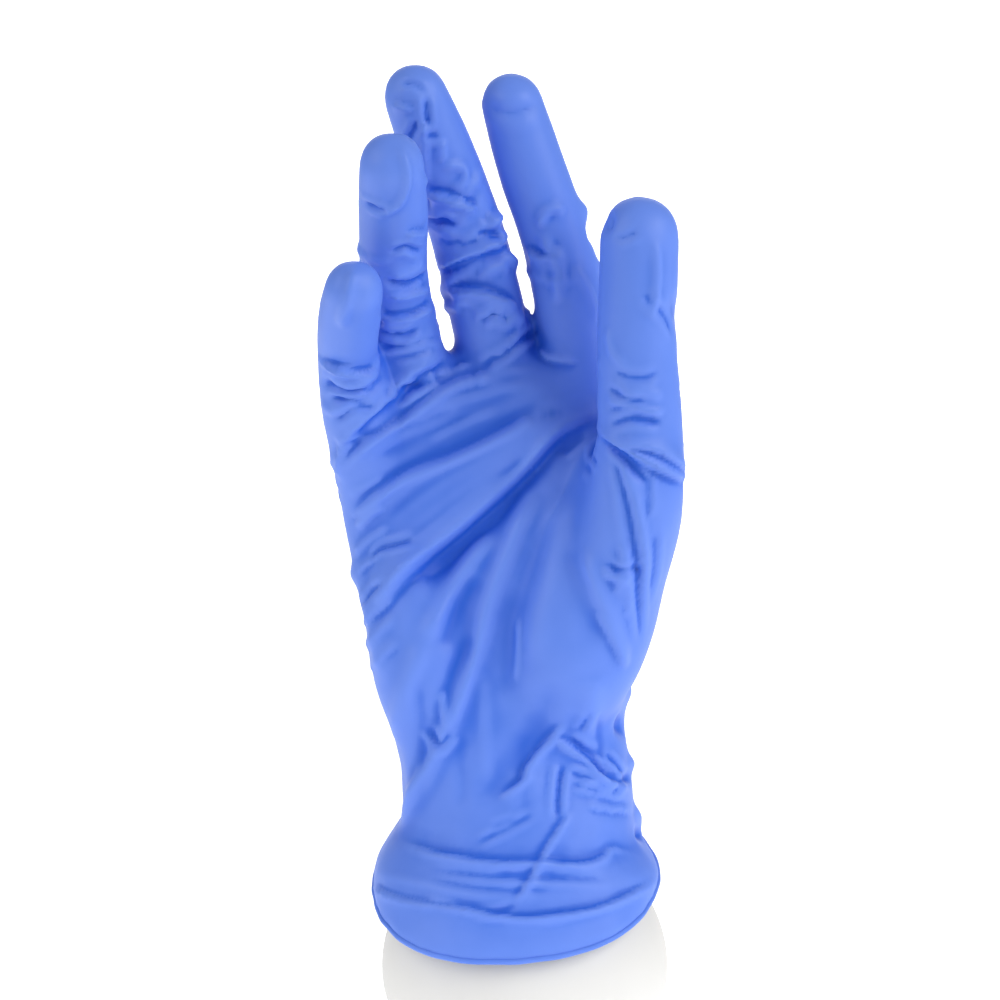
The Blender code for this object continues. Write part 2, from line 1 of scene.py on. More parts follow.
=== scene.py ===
# %% [markdown]
# A disposable nitrile glove is a very thin film pulled over a hand. This script dresses the packed
# CAD model of one on a display hand. The CAD part gives every size and every moving body, and the
# script adds what the CAD leaves out: the wrinkles of the film, the bead of its cuff, the smooth
# casting under it and the finish of each material. It starts by loading that fixed frame.

import math

import bmesh
import bpy
import numpy as np
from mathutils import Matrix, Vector
from mathutils.bvhtree import BVHTree


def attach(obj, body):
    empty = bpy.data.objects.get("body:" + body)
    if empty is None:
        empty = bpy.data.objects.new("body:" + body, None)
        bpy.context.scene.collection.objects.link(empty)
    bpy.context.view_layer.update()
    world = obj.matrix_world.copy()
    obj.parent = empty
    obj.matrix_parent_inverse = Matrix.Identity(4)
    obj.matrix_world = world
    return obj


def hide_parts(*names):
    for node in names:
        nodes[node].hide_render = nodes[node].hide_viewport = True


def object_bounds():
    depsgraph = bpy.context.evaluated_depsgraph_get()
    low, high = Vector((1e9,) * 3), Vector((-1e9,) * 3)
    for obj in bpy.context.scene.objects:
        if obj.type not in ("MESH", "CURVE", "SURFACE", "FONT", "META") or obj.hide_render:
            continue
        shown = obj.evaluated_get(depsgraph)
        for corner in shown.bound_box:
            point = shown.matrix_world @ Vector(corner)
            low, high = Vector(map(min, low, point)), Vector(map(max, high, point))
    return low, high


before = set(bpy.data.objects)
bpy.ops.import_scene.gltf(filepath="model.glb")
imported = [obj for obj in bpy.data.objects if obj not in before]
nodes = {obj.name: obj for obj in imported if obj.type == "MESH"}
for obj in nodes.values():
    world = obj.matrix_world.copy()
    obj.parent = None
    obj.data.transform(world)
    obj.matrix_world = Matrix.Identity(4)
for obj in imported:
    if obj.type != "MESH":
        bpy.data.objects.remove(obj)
cad_low, cad_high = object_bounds()
MM = 0.001
print("CAD box in mm:", [round(v / MM, 1) for v in (*cad_low, *cad_high)])

# %% [markdown]
# A glove shows best from a few steps away through a long lens, so that the fingers nearest the
# camera don't swell. The camera looks slightly down at the palm. Its field is set for the gloved
# hand, so the foot runs out of the bottom of the picture.

# %% Camera
FIELD = 0.26  # width and height of the picture where the hand stands
DISTANCE = 0.95
LOOK_DOWN = math.radians(6.0)
AIM = Vector((-0.0065, 0.0, cad_high.z - 0.1123))

lens = bpy.data.cameras.new("camera")
lens.sensor_width = 36.0
lens.lens = lens.sensor_width / 2 / (FIELD / 2 / DISTANCE)
lens.clip_start = 0.01
camera = bpy.data.objects.new("camera", lens)
back_off = Vector((0, -math.cos(LOOK_DOWN), math.sin(LOOK_DOWN)))
camera.location = AIM + back_off * DISTANCE
camera.rotation_euler = (math.pi / 2 - LOOK_DOWN, 0, 0)
bpy.context.scene.collection.objects.link(camera)
bpy.context.scene.camera = camera
print("lens in mm:", round(lens.lens, 1))

# %% [markdown]
# The hand stands in a light tent: a glowing white sheet behind it, another under it, a big soft
# light high on each side, and the dimmer room all round. The right light is the stronger one. Film
# shows its wrinkles best like this, because each one turns a little towards one light or away from
# the other.

# %% Light tent
ROOM_GLOW = 0.34
SOFTBOX = 0.8  # side of a soft light
MIDDLE = Vector((0, 0, 0.13))  # of the gloved hand

scene = bpy.context.scene
world = bpy.data.worlds.new("light_tent")
scene.world = world
world.use_nodes = True
world.node_tree.nodes["Background"].inputs["Color"].default_value = (1.0, 1.0, 1.0, 1.0)
world.node_tree.nodes["Background"].inputs["Strength"].default_value = ROOM_GLOW
scene.view_settings.view_transform = "Standard"


def soft_light(name, place, power):
    """A square soft light that faces the middle of the hand."""
    light = bpy.data.lights.new(name, "AREA")
    light.size = SOFTBOX
    light.energy = power
    lamp = bpy.data.objects.new(name, light)
    lamp.location = place
    lamp.rotation_euler = (MIDDLE - lamp.location).to_track_quat("-Z", "Y").to_euler()
    lamp.visible_camera = False
    scene.collection.objects.link(lamp)


soft_light("left_softbox", Vector((-0.80, -0.50, 0.62)), 4.0)
soft_light("right_softbox", Vector((0.80, -0.55, 0.62)), 7.7)


def glowing_sheet(name, place, turn, size, glow):
    """A plain white sheet lit from behind."""
    bpy.ops.mesh.primitive_plane_add(size=size, location=place, rotation=turn)
    sheet = bpy.context.object
    sheet.name = name
    white = bpy.data.materials.new(name)
    white.use_nodes = True
    shader = white.node_tree.nodes["Principled BSDF"]
    shader.inputs["Base Color"].default_value = (0.85, 0.85, 0.85, 1.0)
    shader.inputs["Roughness"].default_value = 0.9
    shader.inputs["Specular IOR Level"].default_value = 0.0
    shader.inputs["Emission Color"].default_value = (1.0, 1.0, 1.0, 1.0)
    shader.inputs["Emission Strength"].default_value = glow
    sheet.data.materials.append(white)


glowing_sheet("backdrop", (0.0, 1.3, 0.60), (math.pi / 2, 0.0, 0.0), 1.3, 0.95)
glowing_sheet("floor", (0.0, 0.50, 0.0), (0.0, 0.0, 0.0), 1.6, 0.75)

# %% [markdown]
# Node graphs are written as arithmetic here. Socket wraps an output of a node, so that a + b makes
# a Math node, and Graph holds the nodes of one material.

# %% Shader nodes as sums


class Socket:
    """An output of a node, with the operators that the finishes use."""

    def __init__(self, graph, output):
        self.graph = graph
        self.output = output

    def math(self, operation, first, second):
        return self.graph.node("ShaderNodeMath", {"operation": operation}, first, second)

    def __add__(self, other):
        return self.math("ADD", self, other)

    def __mul__(self, other):
        return self.math("MULTIPLY", self, other)

    def __rsub__(self, other):
        return self.math("SUBTRACT", other, self)

    __radd__ = __add__
    __rmul__ = __mul__

    def clamped(self, low, high):
        """0 at low, 1 at high and eased between them."""
        inputs = {"Value": self, "From Min": low, "From Max": high}
        return self.graph.node("ShaderNodeMapRange", {"interpolation_type": "SMOOTHSTEP"}, **inputs)


class Graph:
    """The nodes of one material."""

    def __init__(self, name):
        self.material = bpy.data.materials.new(name)
        self.material.use_nodes = True
        self.tree = self.material.node_tree
        self.shader = self.tree.nodes["Principled BSDF"]

    def set(self, entry, value):
        if isinstance(value, Socket):
            self.tree.links.new(value.output, entry)
        elif isinstance(value, tuple) and entry.type == "RGBA":
            entry.default_value = (*value, 1.0)
        else:
            entry.default_value = value

    def node(self, kind, settings=None, *inputs, out=0, **named):
        """Any node, with its settings and its inputs by place or by name."""
        made = self.tree.nodes.new(kind)
        for setting, value in (settings or {}).items():
            setattr(made, setting, value)
        for entry, value in zip(made.inputs, inputs):
            self.set(entry, value)
        for entry, value in named.items():
            self.set(made.inputs[entry], value)
        return Socket(self, made.outputs[out])

    def place(self):
        """Where on the object the point is, in metres."""
        return self.node("ShaderNodeTexCoord", out="Object")

    def stretched(self, by, turn=(0.0, 0.0, 0.0)):
        """The place, turned and then scaled along each axis."""
        inputs = {"Vector": self.place(), "Rotation": turn, "Scale": by}
        return self.node("ShaderNodeMapping", None, **inputs)

    def noise(self, where, scale, detail=3.0, roughness=0.5):
        inputs = {"Vector": where, "Scale": scale, "Detail": detail, "Roughness": roughness}
        return self.node("ShaderNodeTexNoise", None, **inputs)

    def mixed(self, share, first, second):
        """A colour between two others."""
        made = self.tree.nodes.new("ShaderNodeMix")
        made.data_type = "RGBA"
        self.set(made.inputs[0], share)
        self.set(made.inputs[6], first)
        self.set(made.inputs[7], second)
        return Socket(self, made.outputs[2])

    def bump(self, height, distance, strength):
        inputs = {"Height": height, "Distance": distance * MM, "Strength": strength}
        return self.node("ShaderNodeBump", None, **inputs)

    def finish(self, **inputs):
        for entry, value in inputs.items():
            self.set(self.shader.inputs[entry.replace("_", " ")], value)
        return self.material


# %% [markdown]
# Nitrile film comes off its mould satin: light slides along its folds, and close up the dipped skin has
# a very fine grain. Its blue is painted deep in the hollows of the folds and painted paler over the
# ridges. The deep blue is painted shade, and partly the deeper blue of film doubled up in a fold. The
# paler blue is painted light. How hollow or how ridged the film is at each point is measured on the
# finished mesh, further down, and read here as "hollow".

# %% The film's finish


def nitrile():
    g = Graph("nitrile_film")
    broad = g.noise(g.place(), 45.0, 3.0)
    cloud = g.noise(g.place(), 160.0, 4.0)
    tone = (broad * 0.6 + cloud * 0.4).clamped(0.35, 0.68)
    hollow = g.node("ShaderNodeAttribute", {"attribute_name": "hollow"}, out="Fac")
    level = g.mixed(tone, (0.092, 0.208, 0.750), (0.110, 0.230, 0.785))
    # painted light: the blue turns paler over the ridges
    ridge_lit = g.mixed(0.0 - hollow, level, (0.135, 0.260, 0.820))
    # painted shade: the blue turns deep in the hollows, partly for film doubled up in a fold
    colour = g.mixed(hollow, ridge_lit, (0.017, 0.112, 0.640))
    grain = g.noise(g.stretched((1.0, 1.0, 0.45), (0.0, 0.6, 0.0)), 900.0, 4.0, 0.6)
    pull = g.noise(g.stretched((1.0, 1.0, 0.25), (0.0, 0.9, 0.0)), 260.0, 2.0)
    height = grain * 0.35 + pull * 0.65
    return g.finish(
        Base_Color=colour,
        Roughness=0.42 + 0.10 * cloud,
        Specular_IOR_Level=0.34,
        Normal=g.bump(height, 0.10, 0.55),
    )


def cast_white():
    g = Graph("cast_white")
    cloud = g.noise(g.place(), 30.0, 3.0)
    speck = g.noise(g.place(), 420.0, 2.0)
    colour = g.mixed(cloud.clamped(0.3, 0.7), (0.690, 0.683, 0.660), (0.710, 0.705, 0.685))
    return g.finish(
        Base_Color=colour,
        Roughness=0.46 + 0.08 * speck,
        Normal=g.bump(speck, 0.03, 0.4),
    )


film_finish = nitrile()
white_finish = cast_white()
print("finishes:", film_finish.name, "and", white_finish.name)

# %% [markdown]
# The meshes are worked on as arrays of points, which is quick enough for nets as fine as a film's
# wrinkles need. These helpers read and write them, and iron them smooth.

# %% Helpers for meshes as arrays


def points_of(mesh):
    """The mesh's points as rows of x, y, z."""
    points = np.empty(len(mesh.vertices) * 3)
    mesh.vertices.foreach_get("co", points)
    return points.reshape(-1, 3)


def set_points(mesh, points):
    mesh.vertices.foreach_set("co", points.astype(np.float32).ravel())
    mesh.update()


def normals_of(mesh):
    normals = np.empty(len(mesh.vertices) * 3)
    mesh.vertex_normals.foreach_get("vector", normals)
    return normals.reshape(-1, 3)


def merged_copy(node, name):
    """A copy of a CAD node whose loose triangles are welded into one surface."""
    piece = bpy.data.objects.new(name, nodes[node].data.copy())
    piece.data.materials.clear()
    bpy.context.scene.collection.objects.link(piece)
    shape = bmesh.new()
    shape.from_mesh(piece.data)
    bmesh.ops.remove_doubles(shape, verts=shape.verts, dist=0.001 * MM)
    shape.to_mesh(piece.data)
    shape.free()
    return piece


def select_only(piece):
    bpy.ops.object.select_all(action="DESELECT")
    bpy.context.view_layer.objects.active = piece
    piece.select_set(True)


def apply_modifier(piece, kind, **settings):
    """One modifier, applied."""
    select_only(piece)
    modifier = piece.modifiers.new(kind.lower(), kind)
    for setting, value in settings.items():
        setattr(modifier, setting, value)
    bpy.ops.object.modifier_apply(modifier=modifier.name)


def edges_of(mesh):
    ends = np.empty(len(mesh.edges) * 2, np.int64)
    mesh.edges.foreach_get("vertices", ends)
    return ends.reshape(-1, 2)


def relaxed(points, edges, rounds, pull, push=0.0, held=None):
    """Each point is drawn towards the middle of its neighbours, then pushed away from it by a
    slightly larger share, which irons facets out without thinning the fingers. With no push it
    only draws tight. held is a share from 0 to 1."""
    count = np.bincount(edges.ravel(), minlength=len(points))[:, None]
    free = 1.0 if held is None else (1.0 - held)[:, None]
    for _ in range(rounds):
        for step in (pull, push):
            if not step:
                continue
            total = np.zeros_like(points)
            for axis in range(3):
                for near, far in ((0, 1), (1, 0)):
                    total[:, axis] += np.bincount(
                        edges[:, near], points[edges[:, far], axis], len(points)
                    )
            points = points + step * free * (total / count - points)
    return points


# %% [markdown]
# The display hand is one casting. On the real object it comes out of its mould smooth all over, so
# the CAD hand, whose triangles are large, is covered with a fine net and ironed. Its level
# underside and the pocket for the threaded insert are then cut again, crisp.

# %% The cast hand, smooth
NET = 0.85  # side of a net's quads in millimetres
IRONING = 420  # rounds that flatten every facet of the CAD shape
hand = merged_copy("hand_form", "cast_hand")
HAND_BASE = min(v.co.z for v in hand.data.vertices)


def netted(piece):
    """Covers the piece with even quads and irons them."""
    apply_modifier(piece, "REMESH", mode="VOXEL", voxel_size=NET * MM)
    points = relaxed(points_of(piece.data), edges_of(piece.data), IRONING, 0.5, -0.502)
    set_points(piece.data, points)


netted(hand)


def cut_away(piece, cutter):
    """Cuts a closed helper shape out of a piece and drops the helper."""
    apply_modifier(piece, "BOOLEAN", object=cutter, operation="DIFFERENCE", solver="EXACT")
    bpy.data.objects.remove(cutter)


def round_bar(radius, low, high):
    """An upright bar on the axis, its ends measured in millimetres from the hand's underside."""
    bpy.ops.mesh.primitive_cylinder_add(
        vertices=64,
        radius=radius * MM,
        depth=(high - low) * MM,
        location=(0, 0, HAND_BASE + (high + low) / 2 * MM),
    )
    return bpy.context.object


UNDERSIDE = round_bar(40.0, -20.0, 0.0)
INSERT_POCKET = round_bar(6.8, -2.0, 14.6)
BOLT_END = round_bar(4.3, 10.0, 16.1)
for cutter in (UNDERSIDE, INSERT_POCKET, BOLT_END):
    cut_away(hand, cutter)
print("the cast hand has", len(hand.data.polygons), "faces")

# %% [markdown]
# The CAD glove is a closed film with an inner and an outer wall, drawn with few, large triangles.
# The wrinkled film is worked up from its outer wall. To get at that wall, a copy is cut just above
# the cuff's edge, which parts the two walls, and only the wall whose faces point outwards is kept.

# %% The outer wall of the CAD film
WALL_EDGE = 0.2 * MM  # only the film's own thickness is shorter than this
ABOVE_EDGE = 0.4 * MM  # where the copy is cut
film = merged_copy("glove", "nitrile_glove")
shape = bmesh.new()
shape.from_mesh(film.data)
rim = np.array([v.co for e in shape.edges if e.calc_length() < WALL_EDGE for v in e.verts])
rim_middle = rim.mean(axis=0)
rim_normal = np.linalg.svd(rim - rim_middle, full_matrices=False)[2][2]
rim_normal *= np.sign(rim_normal[2])  # it points up the hand
print("the cuff's edge is tilted by", round(math.degrees(math.acos(rim_normal[2])), 1), "degrees")


def cut_below(shape, lift):
    """Cuts away all that is lower than a plane parallel to the cuff's edge."""
    everything = shape.verts[:] + shape.edges[:] + shape.faces[:]
    bmesh.ops.bisect_plane(
        shape,
        geom=everything,
        plane_co=Vector(rim_middle + rim_normal * lift),
        plane_no=Vector(rim_normal),
        clear_inner=True,
        dist=0.0001 * MM,
    )


cut_below(shape, ABOVE_EDGE)
walls = []
unseen = set(shape.faces)
while unseen:
    wall, front = set(), {next(iter(unseen))}
    while front:
        wall |= front
        front = {n for f in front for e in f.edges for n in e.link_faces} - wall
    unseen -= wall
    walls.append(wall)
outward = [sum(f.calc_center_median().dot(f.normal) * f.calc_area() for f in w) for w in walls]
outer = walls[outward.index(max(outward))]
bmesh.ops.delete(shape, geom=[f for f in shape.faces if f not in outer], context="FACES")
bmesh.ops.contextual_create(shape, geom=[e for e in shape.edges if e.is_boundary])
shape.to_mesh(film.data)
shape.free()
print("walls:", len(walls), "faces kept:", len(outer))

# %% [markdown]
# The wall is covered with a fine even net of quads, because a wrinkle needs points close together,
# and the net is ironed until nothing is left of the large triangles.

# %% A smooth, even net over the wall
netted(film)
print("the film has", len(film.data.polygons), "quads")

# %% [markdown]
# A thin glove that is a little too big for its hand folds where the hand pulls on it. Film that is
# stretched between the thumb and the little finger's side bridges the hollow of the palm, like a
# drum skin, and stands a little off the mounds. Only what this lifts is kept, so that the film
# never sinks into the hand.

# %% The film is drawn tight over the palm


def fade(values, start, end):
    """0 at start, 1 at end, eased between them. It works downwards too."""
    share = np.clip((values - start) / (end - start), 0.0, 1.0)
    return share * share * (3 - 2 * share)


SLACK = 1.8  # how far the drawn film stands off the mounds, in millimetres
points = points_of(film.data)
x, y, z = points.T / MM
palm = fade(z, 78, 100) * fade(z, 182, 165)  # between the wrist and the fingers
palm *= fade(y, 6, -2)  # on the palm side
palm *= fade(np.hypot(x - 33, (z - 175) / 2), 12, 20)  # and clear of the thumb
tight = relaxed(points, edges_of(film.data), 900, 0.5, 0.0, held=1.0 - palm)
normals = normals_of(film.data)
lift = np.maximum(((tight - points) * normals).sum(axis=1), 0.0) + SLACK * MM * palm
lift = relaxed(np.repeat(lift[:, None], 3, axis=1), edges_of(film.data), 30, 0.5)[:, 0]
points = points + normals * lift[:, None]
set_points(film.data, relaxed(points, edges_of(film.data), 40, 0.5, 0.0, held=1.0 - palm))
print("the film over the palm is lifted by up to", round(lift.max() / MM, 1), "mm")

# %% [markdown]
# Every fold is a line on the film, with a height and a width. The lines were drawn as they show
# from the front, as x and z in millimetres on the upright plane through the hand, and each is
# thrown onto the film from where the camera stands, or from a place behind the hand. There are
# five sorts: a ridge and a valley are soft, a crease is a sharp valley between low shoulders, a lap
# is a ridge that is steeper on one side, and a tuck is a short ridge, or a notch if its height is
# below 0, that goes round the side of the film through one point of its outline.

# %% How a fold is laid
EYE = camera.location.copy()
REACH = 4.0  # widths from its line at which a fold has died out
SWAYS = 8  # places along a fold where it may leave its line
WANDER = 0.35  # how far it may, in millimetres
BLOCK = 4000  # points worked on at a time, to save memory


def surface_of(piece):
    piece.data.calc_loop_triangles()
    return BVHTree.FromPolygons(
        [v.co for v in piece.data.vertices], [t.vertices for t in piece.data.loop_triangles]
    )


def span_between(a, b, c, d, t):
    """The stretch from b to c of a curve that goes through a, b, c and d."""
    bend = (2 * a - 5 * b + 4 * c - d) * t**2
    twist = (3 * b - a - 3 * c + d) * t**3
    return 0.5 * (2 * b + (c - a) * t + bend + twist)


def smooth_line(knots, spacing=0.5):
    """Points along a curve through the knots, at even steps in millimetres, with shares of its
    length."""
    knots = np.asarray(knots, float)
    if len(knots) > 2:
        padded = np.vstack([2 * knots[0] - knots[1], knots, 2 * knots[-1] - knots[-2]])
        t = np.linspace(0, 1, 12, endpoint=False)[:, None]
        fours = zip(padded, padded[1:], padded[2:], padded[3:])
        knots = np.vstack([span_between(*four, t) for four in fours] + [knots[-1:]])
    reach = np.concatenate([[0], np.cumsum(np.linalg.norm(np.diff(knots, axis=0), axis=1))])
    count = max(2, int(reach[-1] / spacing) + 1)
    at = np.linspace(0, reach[-1], count)
    line = np.stack([np.interp(at, reach, knots[:, axis]) for axis in range(knots.shape[1])], axis=1)
    return line, at / max(reach[-1], 1e-9)


def thrown(tree, line, eye):
    """Where the line's points land on the film, seen from the eye. A point that goes past the
    film takes the place on it that is nearest."""
    landed = []
    depth = 0.0
    for x, z in line:
        aim = Vector((x * MM, 0, z * MM))
        way = (aim - eye).normalized()
        spot, normal, _, _ = tree.ray_cast(eye, way)
        if spot is None:
            spot, normal, _, _ = tree.find_nearest(aim + way * depth)
        depth = (spot - aim).dot(way)
        landed.append((*spot, *normal))
    return np.array(landed)


def wrapped(tree, spot, way, reach):
    """A short line round the side of the film, reach millimetres each way from a spot."""
    landed = []
    for step in np.linspace(-reach, reach, 15):
        near, normal, _, _ = tree.find_nearest(Vector(spot) + way * step * MM)
        landed.append((*near, *normal))
    return np.array(landed)


def ridge(u):
    """Heights of a fold, by how many widths to the right of its line a point is."""
    return np.exp(-u * u)


def valley(u):
    return -ridge(u)


def crease(u):
    return 0.4 * np.exp(-1.2 * (np.abs(u) - 1.7) ** 2) - np.exp(-1.7 * np.abs(u))


def lap(u):
    gentle = np.exp(-np.abs(u) * 0.9)
    steep = np.exp(-((u / 0.35) ** 2)) * 1.5 - 0.5 * np.exp(-np.abs(u) * 0.8)
    return np.where(u < 0, gentle, steep)


PROFILES = {"ridge": ridge, "tuck": ridge, "valley": valley, "crease": crease, "lap": lap}


def fold_lift(points, normals, path, kind, height, width, lean_in=0.22):
    """How far one fold lifts each point, in metres."""
    spots, ups = path[:, :3], path[:, 3:]
    near = REACH * width * MM
    low, high = spots.min(axis=0) - near, spots.max(axis=0) + near
    chosen = np.flatnonzero(((points > low) & (points < high)).all(axis=1))
    lift = np.zeros(len(points))
    if not len(chosen):
        return lift
    along = np.gradient(spots, axis=0)
    along /= np.maximum(np.linalg.norm(along, axis=1, keepdims=True), 1e-9)
    side = np.cross(along, ups)
    share = np.linspace(0, 1, len(spots))
    ends = fade(share, 0, lean_in) * fade(share, 1, 1 - lean_in)
    for start in range(0, len(chosen), BLOCK):
        block = chosen[start : start + BLOCK]
        gap = points[block][:, None, :] - spots[None, :, :]
        nearest = np.argmin((gap * gap).sum(axis=2), axis=1)
        gap = gap[np.arange(len(block)), nearest]
        far = np.linalg.norm(gap, axis=1) / (width * MM)
        right = np.sign((gap * side[nearest]).sum(axis=1))
        facing = (normals[block] * ups[nearest]).sum(axis=1)
        profile = PROFILES[kind](far * np.where(right == 0, 1, right)) * fade(far, REACH, REACH * 0.6)
        lift[block] = profile * ends[nearest] * fade(facing, 0.0, 0.6) * height * MM
    return lift


def lay_folds(piece, folds, seed, eye=EYE):
    """Lays folds on a piece. Each is (kind, height, width, knot, knot, ...) in millimetres."""
    rng = np.random.default_rng(seed)
    tree = surface_of(piece)
    points, normals = points_of(piece.data), normals_of(piece.data)
    lift = np.zeros(len(points))
    for kind, height, width, *knots in folds:
        if kind == "tuck":
            spot = thrown(tree, knots, eye)[0, :3]
            slant = Vector((0, 0, rng.uniform(-0.5, 0.5)))
            way = ((Vector(spot) - eye).normalized() + slant).normalized()
            path = wrapped(tree, spot, way, 1.6 * width + 3.0)
            lift += fold_lift(points, normals, path, kind, height, width, 0.45)
            continue
        line, share = smooth_line(knots)
        sway = rng.uniform(-1, 1, SWAYS).cumsum()
        sway -= np.linspace(sway[0], sway[-1], SWAYS)
        sway = np.interp(share * (SWAYS - 1), np.arange(SWAYS), sway)
        line = line + (WANDER * sway)[:, None] * np.array([0.6, 0.8])
        path = thrown(tree, line, eye)
        lift += fold_lift(points, normals, path, kind, height, width)
    set_points(piece.data, points + normals * lift[:, None])


# %% [markdown]
# The big folds come first. The widest one runs from the web of the thumb down to the heel of the
# hand, where the film hangs slack between the thumb's mound and the other side. Others fan out
# from the same web to the fingers' roots, gather at the wrist and go round the cuff.

# %% The big folds of the palm side
BIG_PALM = [
    # the long lap from the heel of the hand up to the web of the thumb, and the slack valley
    # that it drops into
    ("lap", 4.2, 4.5, (-42, 109), (-37, 116), (-30, 124.5), (-16, 135.5), (-5.5, 145), (0.5, 151),
     (6.5, 158), (12, 162), (21, 166)),
    ("valley", 3.0, 4.0, (8, 156), (-2, 147.5), (-7, 140), (-19, 128), (-29, 118)),
    ("lap", 2.4, 4.0, (7, 166), (-7, 158), (-20, 152), (-33, 146.5), (-40.5, 140), (-45, 132)),
    # soft folds that fan down from there to the heel
    ("ridge", 2.0, 2.8, (3, 144), (-1, 137), (-4, 129), (-9.5, 114), (-13, 102)),
    ("ridge", 1.6, 2.6, (-8, 135), (-16, 124), (-23, 111), (-27, 102)),
    ("valley", 0.8, 2.8, (-12, 123), (-18, 112), (-21, 101)),
    ("valley", 0.5, 4.0, (-2, 120), (-5, 108), (-6, 88)),
    ("ridge", 1.2, 4.5, (10, 146), (8, 130), (4, 112), (2, 96)),
    # the thumb's mound
    ("valley", 0.5, 3.4, (10, 132), (14, 117), (20, 103)),
    ("ridge", 1.3, 2.2, (15, 130), (19, 119.5), (25, 106), (27, 97)),
    # from the web between the ring and middle fingers round to the little finger's side
    ("lap", 2.3, 3.0, (-48.5, 151), (-45, 159.5), (-36.5, 168), (-29.5, 175), (-19.5, 180.5)),
    ("lap", 1.6, 2.4, (-16, 173), (-24, 168), (-32, 162), (-42.5, 155), (-48, 148)),
    ("valley", 0.4, 3.0, (2, 173), (-12, 166), (-28.5, 158), (-42, 149)),
    ("valley", 0.4, 2.8, (8, 169), (-5.5, 162.5), (-18.5, 157), (-32, 151.5)),
    # the heel and the wrist
    ("ridge", 2.6, 2.8, (-8, 114), (-13.5, 100), (-18.5, 87), (-24, 73), (-30, 62), (-33.5, 53)),
    ("valley", 1.3, 2.8, (-13, 108), (-18.5, 96), (-22.5, 80), (-27, 72)),
    ("ridge", 1.4, 3.0, (-25, 106), (-31, 92), (-34.5, 78)),
    ("valley", 1.0, 4.0, (8, 96), (4, 84), (-6, 70), (-14, 60)),
    ("ridge", 1.0, 3.6, (18, 96), (17, 84), (12, 74)),
    ("ridge", 1.2, 3.6, (-45, 128), (-42, 118), (-39, 106), (-36, 92)),
]

# %% [markdown]
# The small folds run along the big ones. The ones that catch the eye are placed singly. Between
# them, families are spread between two guide lines: each fold takes a place between the guides, a
# stretch of their length, and a height and width of its own.

# %% The small folds of the palm side
SHARP_KINDS = ("crease", "ridge", "lap")
SOFT_KINDS = ("ridge", "valley")


def family(seed, count, first, second, height, width, stretch=(0.3, 0.8), kinds=SHARP_KINDS):
    """Folds spread between two guide lines with the same number of knots."""
    rng = np.random.default_rng(seed)
    first, second = np.asarray(first, float), np.asarray(second, float)
    folds = []
    for n in range(count):
        share = (n + rng.uniform(0.1, 0.9)) / count
        line, _ = smooth_line(first * (1 - share) + second * share, 1.0)
        length = rng.uniform(*stretch)
        start = rng.uniform(0, 1 - length)
        picks = np.linspace(start, start + length, 4) * (len(line) - 1)
        knots = line[picks.astype(int)] + rng.normal(0, 0.25, (4, 2))
        kind = rng.choice(kinds)
        sizes = (rng.uniform(*height), rng.uniform(*width))
        folds.append((kind, *sizes, *map(tuple, knots)))
    return folds


